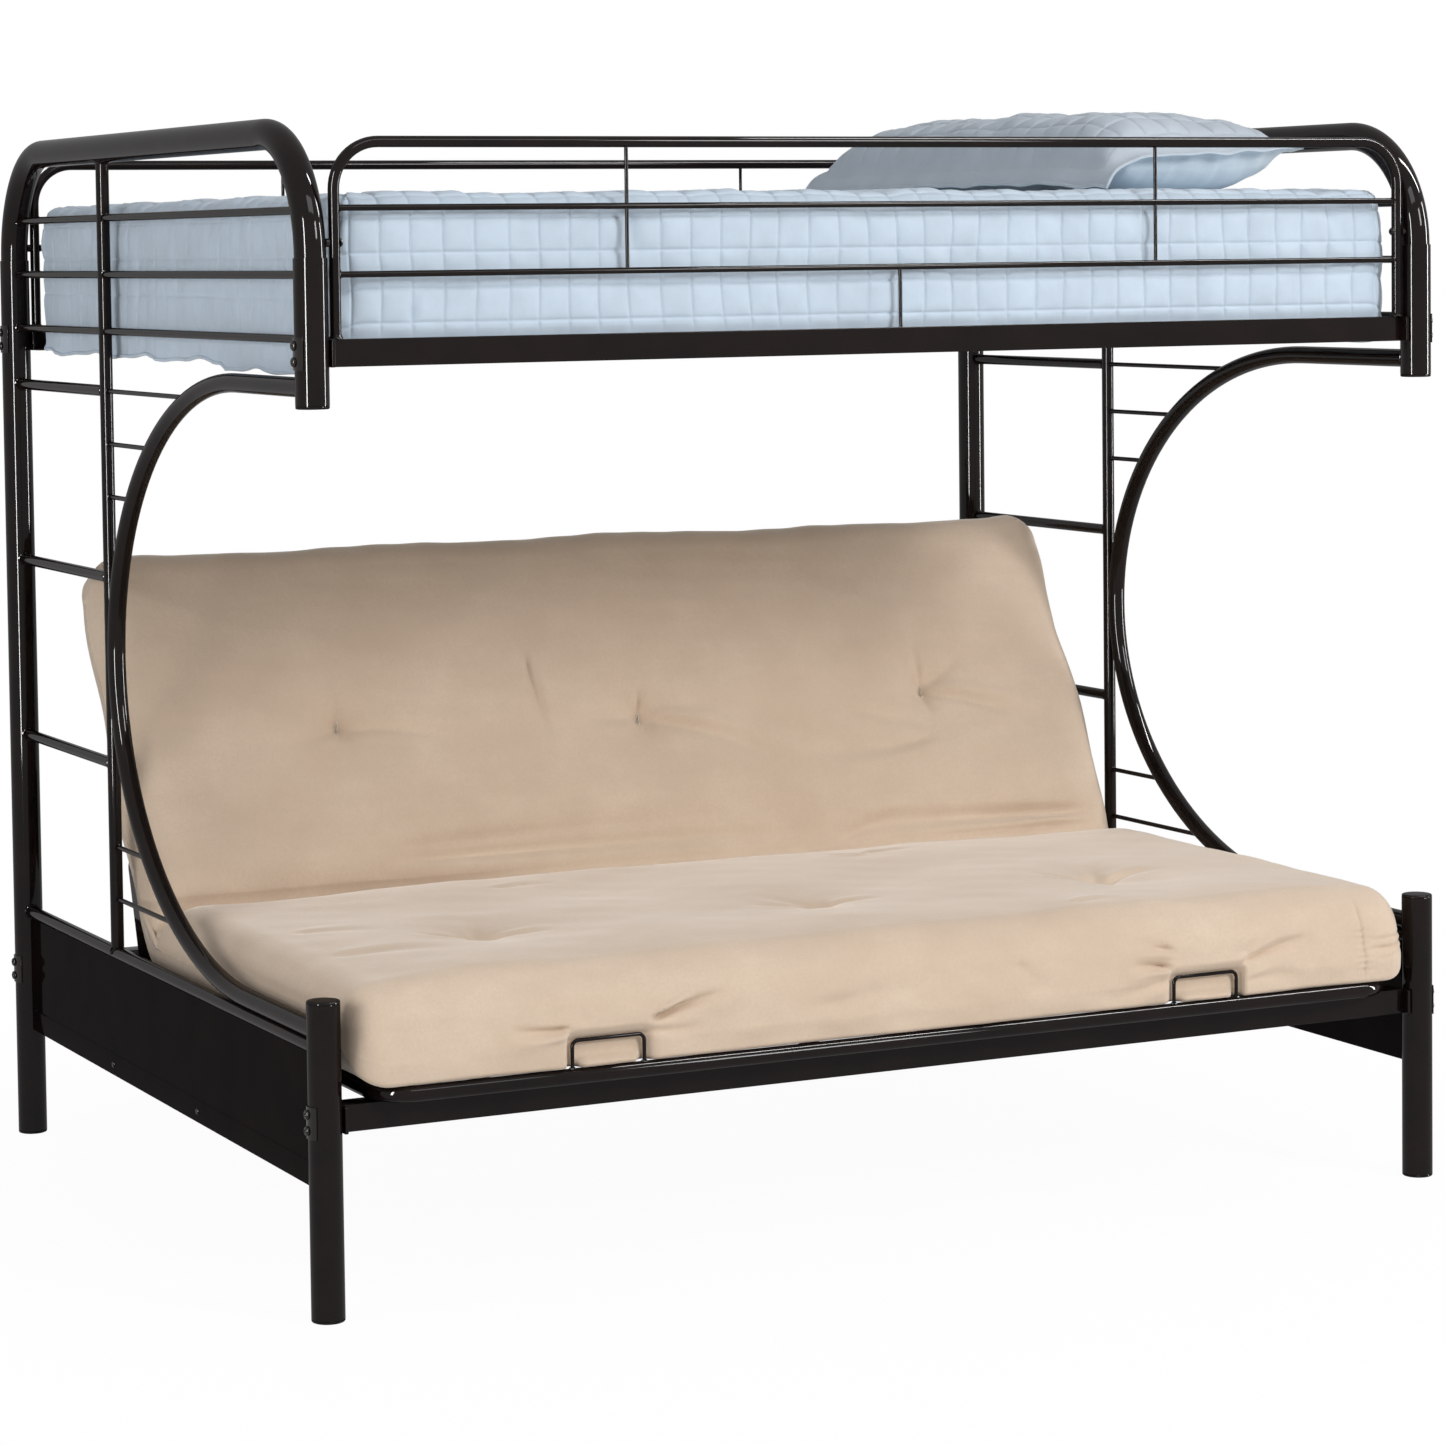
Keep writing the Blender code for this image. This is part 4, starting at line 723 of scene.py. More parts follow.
def make_guards():
    """Hoops with flared feet, two long rails and three pickets."""
    top = HOOP_TOP_Z - HOOP_R
    foot = UPPER_RAIL_BOTTOM + RAIL_LEG + GAP
    low_rail = GUARD_RAIL_ZS[1]
    flare = ((0.0, 0.0026), (0.0015, 0.0024), (0.0035, 0.0010), (0.006, -0.0002))
    flare_radii = [HOOP_R + more for _, more in flare]
    for spot, y in SPOTS:
        shapes = [bar([(x, y, z) for x, z in hoop(0.0, HOOP_X, foot, top, HOOP_BEND_R)], HOOP_R)]
        for z in GUARD_RAIL_ZS:
            shapes.append(bar([(-HOOP_X, y, z), (HOOP_X, y, z)], GUARD_RAIL_R, SMALL))
        for way in (-1, 1):
            x = -way * HOOP_X
            shapes.append(bar([(x, y, foot + rise) for rise, _ in flare], flare_radii))
            for z in GUARD_RAIL_ZS:
                shapes.append(bead((x, y, z), (way, 0, 0), UP, GUARD_RAIL_R, HOOP_R, 0.0015, 20))
        for x, low, high in ((0.0, foot, low_rail), (-PICKET_X, low_rail, top), (PICKET_X, low_rail, top)):
            shapes.append(bar([(x, y, low), (x, y, high)], PICKET_R, SMALL))
        painted(f"guard_hoop_{spot}", shapes, f"guard_rail_{spot}")


def make_guard_bolts():
    """Domed heads inside the hoops, each in one shape with its spacer towards the bow."""
    seat = HOOP_X - HOOP_R - GAP
    far = HALF_X - BOW_R - GAP - seat
    near = 2 * HOOP_R + 2 * GAP
    shank, spacer = 0.0030, 0.0065
    profile = (
        (0.0, 0.0016), (0.0020, 0.0016), (0.0022, 0.0034), (0.0046, 0.0036), (0.0062, 0.0018), (0.0064, 0.0),
        (shank, 0.0), (shank, -near), (spacer, -near), (spacer, -far), (shank, -far), (shank, -far - 0.004),
    )
    for end, side in ENDS:
        for spot, y in SPOTS:
            place = pointed((-side, 0, 0), (side * seat, y, GUARD_BOLT_Z))
            hardware(f"guard_screw_{spot}_{end}", [lathe(profile, 24, place)], f"guard_bolt_{spot}_{end}")


def make_caps():
    """Moulded caps with a domed face and a soft edge, as (inside the edge, height) from the rim."""
    rows = (
        (POST_R, CAP_T + 0.0002), (POST_R * 0.4, CAP_T), (0.0022, CAP_T - 0.0002), (0.0010, CAP_T - 0.0007),
        (0.0002, CAP_T - 0.0018), (0.0, 0.0006), (0.0004, 0.0), (0.0028, 0.0), (0.0030, -0.012),
    )
    profile = [(POST_R - inside, height) for inside, height in rows]
    spots = (
        ("foot_rear", -1, REAR_Y, CAP_T), ("foot_front", -1, FRONT_Y, CAP_T),
        ("post_cap", 1, FRONT_Y, LOWER_POST_TOP - CAP_T), ("stub_cap", -1, FRONT_Y, STUB_BOTTOM - GAP),
    )
    for end, side in ENDS:
        for name, up, y, z in spots:
            shape = lathe(profile, FINE, pointed((0, 0, up), (side * HALF_X, y, z)))
            node = f"{name}_{end}"
            painted(f"moulded_{node}", [shape], node, material=PLASTIC)


def loop(half, low, high, bend):
    """Closed rectangle with bends, as flat points from the low right corner on."""
    corners = (
        ((half - bend, low + bend), -math.pi / 2), ((half - bend, high - bend), 0.0),
        ((bend - half, high - bend), math.pi / 2), ((bend - half, low + bend), math.pi),
    )
    points = []
    for centre, start in corners:
        points += arc(centre, bend, start, start + math.pi / 2, 10)
    return points


def make_sofa_frames():
    """Seat loop with its two mattress stoppers, and the loop of the back."""
    path = [(x, y, SEAT_Z) for x, y in loop(SEAT_FRAME_HALF, SEAT_FRONT_Y, SEAT_BACK_Y, SEAT_FRAME_BEND)]
    shapes = [bar(path, SEAT_TUBE_R, closed=True)]
    foot = SEAT_Z + SEAT_TUBE_R * 0.8
    top = SEAT_Z + SEAT_TUBE_R + STOPPER_RISE
    half = STOPPER_W / 2
    for middle in (-STOPPER_X, STOPPER_X):
        flat = hoop(middle, half, foot, top, STOPPER_BEND, 8)
        shapes.append(bar([(x, SEAT_FRONT_Y, z) for x, z in flat], STOPPER_R, SMALL))
        for x in (middle - half, middle + half):
            shapes.append(bead((x, SEAT_FRONT_Y, SEAT_Z), UP, (1, 0, 0), STOPPER_R, SEAT_TUBE_R, 0.0016, 18))
    painted("seat_loop", shapes, "seat_frame")

    place = Matrix.Translation((0.0, CREASE_Y, CREASE_Z)) @ Matrix.Rotation(BACK_LEAN, 4, "X")
    flat = loop(BACK_FRAME_HALF, BACK_START, BACK_END, SEAT_FRAME_BEND)
    path = [tuple(place @ Vector((x, y, -BACK_DEPTH))) for x, y in flat]
    painted("back_loop", [bar(path, SEAT_TUBE_R, closed=True)], "back_frame", body="futon_back")


def dress_plates():
    """The CAD plates and bars whose shape is right get the paint."""
    sided = [f"{name}_{end}" for name in ("back_arm", "track_bracket") for end, _ in ENDS]
    for name in ["seat_deck", "back_deck", "upper_deck"] + sided:
        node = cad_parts[name]
        node.data.materials.clear()
        node.data.materials.append(PAINT)


# Futon

ROUND_FRONT, ROUND_BACK = 0.058, 0.055
FOLD_FILLET = 0.012
BACK_WAY = np.array((math.cos(BACK_LEAN), math.sin(BACK_LEAN)))
SEAT_CREASE = np.array((CREASE_Y + (SEAT_FACE_Z - CREASE_Z) / math.tan(BACK_LEAN), SEAT_FACE_Z))
# How much thicker the outside of the fold gets from the back to the seat
FOLD_GROWTH = 0.001
# Its radius where the futon's ends close
FOLD_END = 0.07
# Marks the points of the outside of the fold, in place of the way out
FOLD_MARK = 9.0
# How far in from their edges the futon's ends close
CLOSE_IN = 0.076

# Creases on the faces: start and end as (x, along), depth, width, bend and ridge
CREASES = [
    ((-0.551, 0.291), (-0.33, 0.245), 0.0065, 0.011, 0.04),
    ((-0.565, 0.292), (-0.655, 0.262), 0.0045, 0.01, 0.05),
    ((-0.553, 0.31), (-0.538, 0.375), 0.005, 0.009, 0.05),
    ((-0.552, 0.285), (-0.54, 0.205), 0.0035, 0.012, 0.05),
    ((0.022, 0.27), (0.27, 0.17), 0.013, 0.013, 0.03, 0.5),
    ((0.024, 0.262), (0.062, 0.195), 0.006, 0.01, -0.05),
    ((0.018, 0.288), (0.034, 0.345), 0.008, 0.008, 0.05),
    ((0.004, 0.276), (-0.13, 0.28), 0.004, 0.012, 0.04),
    ((0.614, 0.288), (0.83, 0.205), 0.012, 0.013, 0.03, 0.5),
    ((0.616, 0.304), (0.705, 0.365), 0.0085, 0.01, -0.04, -0.5),
    ((0.608, 0.308), (0.598, 0.41), 0.0055, 0.009, 0.04),
    ((0.602, 0.285), (0.59, 0.215), 0.0035, 0.012, 0.04),
    ((0.61, 0.2), (0.29, 0.185), 0.006, 0.014, 0.05),
    ((0.425, 0.258), (0.64, 0.195), 0.0045, 0.014, 0.03),
    ((-0.187, 0.415), (-0.18, 0.225), 0.011, 0.008, 0.02, 0.2),
    ((-0.52, 0.042), (0.42, 0.026), 0.024, 0.016, 0.01, -0.6),
    ((0.9, 0.03), (0.33, 0.034), 0.022, 0.015, -0.01, 0.6),
    ((0.35, 0.012), (0.52, 0.052), 0.008, 0.012, 0.03),
    ((0.88, -0.01), (0.935, -0.075), 0.006, 0.01, 0.05),
    ((-0.61, -0.586), (-0.7, -0.54), 0.0075, 0.01, 0.06),
    ((-0.59, -0.588), (-0.49, -0.62), 0.0075, 0.01, 0.06),
    ((-0.603, -0.57), (-0.56, -0.47), 0.0045, 0.014, 0.05),
    ((-0.022, -0.6), (-0.12, -0.56), 0.0075, 0.01, 0.06),
    ((-0.004, -0.602), (0.1, -0.62), 0.0075, 0.01, 0.06),
    ((-0.014, -0.58), (-0.08, -0.48), 0.004, 0.014, 0.05),
    ((0.529, -0.59), (0.43, -0.53), 0.008, 0.01, 0.06),
    ((0.547, -0.592), (0.68, -0.56), 0.0075, 0.01, 0.06),
    ((0.54, -0.572), (0.6, -0.47), 0.0045, 0.014, 0.05),
    ((0.31, -0.175), (0.24, -0.145), 0.009, 0.01, 0.08),
    ((0.31, -0.17), (0.42, -0.15), 0.007, 0.01, 0.06),
    ((-0.43, -0.22), (-0.3, -0.205), 0.004, 0.012, 0.05),
    ((0.34, -0.83), (0.43, -0.815), 0.0055, 0.01, 0.08),
    ((-0.88, -0.64), (-0.7, -0.7), 0.005, 0.018, 0.05),
    ((-0.86, -0.42), (-0.73, -0.5), 0.0045, 0.018, 0.05),
]

# Creases on the seat's front face: start and end as (x, depth), depth, width, bend and ridge
FRONT_CREASES = [
    ((-0.598, -0.09), (-0.7, -0.086), 0.012, 0.007, 0.04),
    ((-0.465, -0.092), (-0.33, -0.062), 0.013, 0.007, 0.05, 0.7),
    ((-0.46, -0.088), (-0.39, -0.068), 0.006, 0.005, 0.05),
    ((-0.47, -0.104), (-0.37, -0.104), 0.0045, 0.008, -0.05),
    ((-0.57, -0.088), (-0.59, -0.04), 0.003, 0.012, 0.05),
    ((0.478, -0.068), (0.38, -0.052), 0.01, 0.007, -0.05),
    ((0.47, -0.094), (0.39, -0.088), 0.012, 0.006, -0.05),
    ((0.465, -0.11), (0.33, -0.128), 0.005, 0.01, 0.04),
    ((0.6, -0.098), (0.75, -0.07), 0.011, 0.008, 0.06, 0.7),
    ((0.6, -0.086), (0.68, -0.055), 0.0045, 0.01, 0.05),
    ((0.61, -0.128), (0.72, -0.124), 0.003, 0.008, 0.05),
    ((0.945, -0.092), (0.846, -0.094), 0.0075, 0.004, 0.02),
    ((0.94, -0.074), (0.846, -0.08), 0.006, 0.004, 0.03),
    ((-0.7, -0.02), (-0.55, -0.036), 0.004, 0.014, 0.04),
    ((-0.86, -0.03), (-0.74, -0.02), 0.004, 0.014, 0.04),
    ((-0.2, -0.1), (0.1, -0.08), 0.003, 0.016, 0.02),
    ((0.18, -0.06), (0.22, -0.11), 0.004, 0.014, 0.05),
]


def clamp(values):
    return np.clip(values, 0, 1)


def bell(away, width, power=2):
    return np.exp(-(away / width) ** power)


def groove(x, v, start, end, depth, width, bend=0.0, ridge=0.55):
    """A crease along a line, deepest near its start and fading at its end, with a ridge beside it."""
    start, end = np.array(start, float), np.array(end, float)
    way = end - start
    length = np.linalg.norm(way)
    way = way / length
    along = ((x - start[0]) * way[0] + (v - start[1]) * way[1]) / length
    off = (v - start[1]) * way[0] - (x - start[0]) * way[1]
    off = off - bend * length * 4 * along * (1 - along)
    inside = clamp(along * 6) * clamp(1 - along) ** 0.7
    wide = width * (0.55 + 0.75 * clamp(along))
    return -depth * inside * (bell(off, wide) - ridge * bell(off - 2.0 * wide, 1.3 * wide))


def waves(x, v, seed, scale, count=9):
    """Smooth seeded unevenness between about -1 and 1."""
    random = np.random.default_rng(seed)
    total = np.zeros_like(x)
    for _ in range(count):
        angle = random.uniform(0, math.pi)
        size = scale * random.uniform(0.6, 1.6)
        turn = (x * math.cos(angle) + v * math.sin(angle)) * 2 * math.pi / size
        total += np.sin(turn + random.uniform(0, 2 * math.pi))
    return total / math.sqrt(count)


def spaced(low, high, step):
    return np.linspace(low, high, max(2, int(round((high - low) / step)) + 1))


def round_rows(s, depth, radius, start, end, count):
    """Rows of the section, all but the first, round a corner with its middle at (s, depth)."""
    turns = np.linspace(start, end, count)[1:]
    return [(s + radius * math.cos(t), depth + radius * math.sin(t), math.cos(t), math.sin(t)) for t in turns]


def futon_section():
    """Loop round the flat futon: along, depth and outward way of each point.

    On the outside of the fold the way is replaced by the share of the turn
    that is done, less than nothing, and FOLD_MARK.
    """
    low_front, low_back = 0.008, ROUND_BACK * 0.6
    front, back = -FUTON_FRONT, FUTON_BACK
    quarter = math.pi / 2
    top = spaced(front + ROUND_FRONT, back - ROUND_BACK, 0.0062), spaced(-0.014, 0.014, 0.0020)
    rows = [(s, 0.0, 0.0, 1.0) for s in np.unique(np.concatenate(top).round(5))]
    rows += round_rows(back - ROUND_BACK, -ROUND_BACK, ROUND_BACK, quarter, 0, 12)
    rows += [(back, z, 1.0, 0.0) for z in spaced(-ROUND_BACK, -BACK_THICK + low_back, 0.010)[1:]]
    rows += round_rows(back - low_back, -BACK_THICK + low_back, low_back, 0, -quarter, 8)
    rows += [(s, -BACK_THICK, 0.0, -1.0) for s in spaced(0.0, back - low_back, 0.016)[-2::-1]]
    for share in np.arange(1, 14) / 14:
        rows.append((-1e-9, -(BACK_THICK + FOLD_GROWTH * share), -share, FOLD_MARK))
    rows += [(s, -SEAT_THICK, 0.0, -1.0) for s in spaced(front + low_front, -1e-6, 0.016)[::-1]]
    rows += round_rows(front + low_front, -SEAT_THICK + low_front, low_front, -quarter, -2 * quarter, 8)
    rows += [(front, z, -1.0, 0.0) for z in spaced(-SEAT_THICK + low_front, -ROUND_FRONT, 0.0028)[1:]]
    rows += round_rows(front + ROUND_FRONT, -ROUND_FRONT, ROUND_FRONT, 2 * quarter, quarter, 13)[:-1]
    return np.array(rows)


def futon_stations():
    """Places along X, each with how far its ring is drawn in from the section."""
    round_x, bulge = 0.052, 0.0042
    right = []
    for turn in np.linspace(0, math.pi / 2, 11)[1:]:
        right.append((FUTON_HALF - round_x * (1 - math.sin(turn)), round_x * (1 - math.cos(turn))))
    for share in np.arange(1, 8) / 7:
        out = bulge * math.sin(math.pi / 2 * share)
        right.append((FUTON_HALF + out, round_x + (CLOSE_IN - round_x) * share))
    fine_spots = [SEAM_X] + [x for x, _ in BACK_TUFTS + SEAT_TUFTS]
    close = [c + d for c in fine_spots for d in (-0.004, -0.0015, 0.0015, 0.004)]
    xs = np.array(close + list(spaced(-FUTON_HALF + round_x, FUTON_HALF - round_x, 0.0072)))
    flat_run = [(x, 0.0) for x in np.unique(xs.round(5))]
    return [(-x, d) for x, d in reversed(right)] + flat_run + right


def folded(s, depth, lift, fillet):
    """World (y, z) of a point of the folded futon.

    s runs along the face from the crease, depth is below the face and lift
    stands off it. The fillet is the radius of the valley at the crease.
    """
    on_back = s >= 0
    half_turn = BACK_LEAN / 2
    base_y = SEAT_CREASE[0] + s * np.where(on_back, BACK_WAY[0], 1.0)
    base_z = SEAT_CREASE[1] + s * np.where(on_back, BACK_WAY[1], 0.0)
    reach = fillet * math.tan(half_turn)
    near = np.abs(s) < reach
    angle = half_turn + half_turn * np.clip(s / reach, -1, 1)
    share = clamp(1 + depth / 0.05) * near
    base_y = base_y * (1 - share) + (SEAT_CREASE[0] - reach + fillet * np.sin(angle)) * share
    base_z = base_z * (1 - share) + (SEAT_CREASE[1] + fillet - fillet * np.cos(angle)) * share
    turn = np.where(share > 0, angle, np.where(on_back, BACK_LEAN, 0.0))
    return base_y - np.sin(turn) * (depth + lift), base_z + np.cos(turn) * (depth + lift)


def futon_relief(x, s):
    """How far the face stands off its plane: crown, fold, tufts and creases."""
    across = np.abs(x / FUTON_HALF)
    seat = clamp((s + FUTON_FRONT) / FUTON_FRONT)
    back = clamp(s / FUTON_BACK)
    along = np.where(s < 0, 2 * seat - 1, 2 * back - 1)
    lift = 0.012 * (1 - across ** 4) * (1 - np.abs(along) ** 6)
    lift += 0.0028 * waves(x, s, 3, 0.42) + np.where(s < 0, 0.0005, 0.0013) * waves(x, s, 5, 0.13)
    lift += 0.00035 * waves(x * 0.35, s, 8, 0.045) * (s >= 0)
    # both pads round down into the fold, most on the left
    sunk = 0.030 - 0.016 * clamp((x + 0.50) / 0.45)
    lift -= sunk * clamp(1 + s / 0.115) ** 2 * (s < 0)
    lift -= 0.6 * sunk * clamp(1 - s / 0.060) ** 2 * (s >= 0)
    # on the left the fold is a sharp line
    lift -= 0.020 * bell(s + 0.002, 0.0065) * clamp((-0.22 - x) / 0.18)
    for row_x, row_s in BACK_TUFTS + SEAT_TUFTS:
        away = np.hypot(x - row_x, (s - row_s) * (1.0 if row_s > 0 else 0.8))
        strength = 1.0 if row_s > 0 else 0.55
        lift -= 0.021 * strength * clamp(1 - away / 0.150) ** 2
        lift -= 0.024 * strength * bell(away, 0.017, 1.2)
    for row_x, row_s in SEAT_TUFTS:
        bow = s - row_s - 1.6 * (x - row_x) ** 2
        lift -= 0.010 * bell(np.hypot((x - row_x) / 3.2, bow), 0.013, 1.5)
    for row in CREASES:
        lift += (1.15 if row[0][1] > 0 else 0.9) * groove(x, s, *row)
    return lift


def make_futon():
    """One mattress over seat and back: rings of the section, folded at the crease."""
    s, depth, way_s, way_z = futon_section().T
    fold = way_z == FOLD_MARK
    middle_s = np.clip(s, -FUTON_FRONT + CLOSE_IN, FUTON_BACK - CLOSE_IN + 0.002)
    middle_depth = np.where(middle_s < 0, -SEAT_THICK / 2, -BACK_THICK / 2)
    rings = []
    for x, inset in futon_stations():
        xs = np.full_like(s, x)
        face_x = np.clip(xs, -FUTON_HALF, FUTON_HALF)
        gap = np.hypot(s - middle_s, depth - middle_depth)
        share = clamp(inset / np.maximum(gap, 1e-6))
        if inset > CLOSE_IN - 0.0001:
            share = np.ones_like(share)
        here_s = s + (middle_s - s) * share
        here_depth = depth + (middle_depth - depth) * share
        faces_up = clamp(way_z) * ~fold * (1 - share)
        lift = futon_relief(face_x, s) * faces_up
        front = clamp((-s - FUTON_FRONT + 0.070) / 0.050) * ~fold
        y, z = folded(here_s, here_depth, lift, FOLD_FILLET)
        # the outside of the fold is one round of cloth about the crease
        turn = BACK_LEAN * (1 + way_s[fold])
        radius = BACK_THICK - FOLD_GROWTH * way_s[fold]
        radius = radius * (1 - share[fold]) + FOLD_END * share[fold]
        y[fold] = CREASE_Y + radius * np.sin(turn)
        z[fold] = CREASE_Z - radius * np.cos(turn)
        y = y - front_push(face_x, depth) * front * (1 - share)
        # the back's upper edge waves, and its ends belly out a little
        edge = clamp((s - FUTON_BACK + 0.10) / 0.10) * (1 - share)
        level = np.zeros_like(s)
        wavy = 0.0035 * waves(face_x, level, 51, 0.55) + 0.0012 * waves(face_x, level, 52, 0.12) - 0.002
        y, z = y + wavy * edge * BACK_WAY[0], z + wavy * edge * BACK_WAY[1]
        belly = 0.007 * np.sin(math.pi * clamp(here_s / FUTON_BACK))
        belly += 0.0045 * waves(here_s, level + np.sign(x), 57, 0.19) * clamp(here_s / 0.08)
        belly *= abs(face_x / FUTON_HALF) ** 8 * np.sign(x)
        rings.append(np.column_stack([xs + belly, y, z]))
    points, faces = lofted(rings, capped=False)
    # each end closes along the middle of its roll
    count = len(s)
    turned = np.argmax(s >= FUTON_BACK - ROUND_BACK - 0.001)
    for start in (0, (len(rings) - 1) * count):
        upper = range(start, start + turned + 1)
        lower = range(start + count - 1, start + turned, -1)
        faces += zipped(upper, lower, np.tile(middle_s, len(rings)))
    futon = make_soft("futon_mattress", points, faces, SUEDE)
    start = (0.0, CREASE_Y, CREASE_Z - BACK_THICK)
    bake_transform(futon)
    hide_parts("seat_pad", "back_pad")


def front_push(x, depth):
    """How far the seat's front face stands forward."""
    low = clamp(-depth / SEAT_THICK)
    push = 0.0225 * clamp(low * 1.3) + 0.004 * np.sin(low * math.pi)
    push = push + 0.0020 * waves(x, depth * 1.5, 21, 0.30) + 0.0008 * waves(x, depth * 2, 22, 0.09)
    for row in FRONT_CREASES:
        push = push + 1.4 * groove(x, depth, *row)
    # the stoppers hold the cover back
    for middle in (-STOPPER_X, STOPPER_X):
        beside = clamp((STOPPER_W / 2 + 0.015 - np.abs(x - middle)) / 0.009)
        behind = clamp((-0.092 - depth) / 0.018)
        between = clamp((0.052 - np.abs(x - middle)) / 0.006) * clamp((-0.134 - depth) / 0.010)
        held = beside * beside * (3 - 2 * beside) * behind * (1 - between)
        push = push * (1 - held) + np.minimum(push, 0.0075) * held
    # gathered seam towards the right corner
    away = np.abs(x - SEAM_X)
    upright = clamp((depth + 0.142) / 0.01) * clamp((-0.018 - depth) / 0.01)
    push = push - 0.0034 * upright * bell(away, 0.0026)
    push = push + 0.0016 * upright * np.sin(depth * 2 * math.pi / 0.0105) * bell(away, 0.011)
    return push


def make_tuft_threads():
    """Loops of thread in the tufts, one piece for each body."""
    level = Matrix.Translation((0.0, SEAT_CREASE[0], SEAT_CREASE[1]))
    leant = level @ Matrix.Rotation(BACK_LEAN, 4, "X")
    rows = (("back", BACK_TUFTS, leant, "futon_back", 0.0105), ("seat", SEAT_TUFTS, level, "root", 0.0050))
    turns = np.linspace(0, 2 * math.pi, 24, endpoint=False)
    for name, tufts, matrix, body, half in rows:
        shapes = []
        for x, along in tufts:
            path_x = x + 0.0028 * np.sin(turns) + 0.12 * half * np.cos(turns)
            path_s = along + half * np.cos(turns)
            rise = futon_relief(path_x, path_s) + 0.0014
            shapes.append(moved(bar(np.column_stack([path_x, path_s, rise]), 0.0011, 8, closed=True), matrix))
        make_piece(f"tuft_threads_{name}", shapes, THREAD, body, (), 0)


# Bedding

# Loose folds on the coverlet's front drop: start and end as (x, down), depth, width, bend and ridge
COVER_CREASES = [
    ((-0.452, 0.012), (-0.440, 0.135), 0.0075, 0.009, 0.02, 0.8),
    ((0.440, 0.012), (0.458, 0.105), 0.0060, 0.008, 0.03, 0.8),
    ((0.800, 0.018), (0.890, 0.120), 0.0040, 0.012, 0.05),
    ((-0.820, 0.215), (-0.800, 0.090), 0.0045, 0.010, 0.04),
]


def stitched_steps(low, high, middle, pitch=QUILT_CELL):
    """Places from low to high, crowded beside the stitch lines at whole cells from the middle."""
    shares = (0.0, 0.035, 0.10, 0.22, 0.40, 0.60, 0.78, 0.90, 0.965)
    cells = range(math.floor((low - middle) / pitch), math.ceil((high - middle) / pitch) + 1)
    places = [middle + (cell + share) * pitch for cell in cells for share in shares]
    return np.array([low] + [p for p in places if low + 0.0008 < p < high - 0.0008] + [high])


def puffed(off, cell=QUILT_CELL):
    """0 on the stitch lines, one every cell, and 1 midway between them."""
    return np.abs(np.sin(math.pi * off / cell))


def cover_grid():
    """Open box of quads: top and four sides, as flat (x, y, down) rows and faces."""
    xs = stitched_steps(-COVER_HALF_X, COVER_HALF_X, 0.0)
    ys = stitched_steps(COVER_FRONT_Y, COVER_REAR_Y, COVER_MID_Y)
    ds = stitched_steps(0.0, COVER_DROP, DROP_LINE, DROP_CELL)
    index, faces = {}, []

    def quad(*corners):
        faces.append(tuple(index.setdefault(corner, len(index)) for corner in corners))

    nx, ny, nd = len(xs) - 1, len(ys) - 1, len(ds) - 1
    for i in range(nx):
        for j in range(ny):
            quad((i, j, 0), (i + 1, j, 0), (i + 1, j + 1, 0), (i, j + 1, 0))
    for k in range(nd):
        for i in range(nx):
            quad((i, 0, k), (i, 0, k + 1), (i + 1, 0, k + 1), (i + 1, 0, k))
            quad((i, ny, k), (i + 1, ny, k), (i + 1, ny, k + 1), (i, ny, k + 1))
        for j in range(ny):
            quad((0, j, k), (0, j + 1, k), (0, j + 1, k + 1), (0, j, k + 1))
            quad((nx, j, k), (nx, j, k + 1), (nx, j + 1, k + 1), (nx, j + 1, k))
    return np.array([(xs[i], ys[j], ds[k]) for i, j, k in index]), faces


def cover_plan(x, y):
    """Plan of the cover, its corners drawn in from squares to quarter discs.

    Gives the places, the ways out, and how far past the core they lie.
    """
    side_x, side_y = np.sign(x), np.sign(y - COVER_MID_Y)
    core_x, core_y = COVER_HALF_X - COVER_CORNER, COVER_HALF_Y - COVER_CORNER
    over_x, over_y = np.abs(x) - core_x, np.abs(y - COVER_MID_Y) - core_y
    over = np.maximum(over_x, over_y)
    corner = (over_x > 0) & (over_y > 0)
    size = np.maximum(np.hypot(np.maximum(over_x, 0), np.maximum(over_y, 0)), 1e-9)
    plan_x = np.where(corner, side_x * (core_x + over_x * over / size), x)
    plan_y = np.where(corner, COVER_MID_Y + side_y * (core_y + over_y * over / size), y)
    out_x = side_x * np.where(corner, over_x / size, over_x >= over_y)
    out_y = side_y * np.where(corner, over_y / size, over_x < over_y)
    return plan_x, plan_y, out_x, out_y, over


def cover_shoulder(hung, down, inside):
    """Round on which the cloth turns from the top to the drop.

    Gives the inset, the depth, and how far each place faces up and out.
    """
    across = np.where(hung, down, -inside)
    turn = np.clip((1 + across / COVER_SHOULDER) * math.pi / 4, 0, math.pi / 2)
    on_round = np.abs(across) < COVER_SHOULDER
    inset = np.where(on_round, COVER_SHOULDER * (1 - np.sin(turn)) - inside * ~hung, 0.0)
    depth = np.where(on_round, COVER_SHOULDER * (1 - np.cos(turn)), down)
    face_up = np.where(on_round, np.cos(turn), ~hung)
    face_out = np.where(on_round, np.sin(turn), hung)
    return inset, depth, face_up, face_out


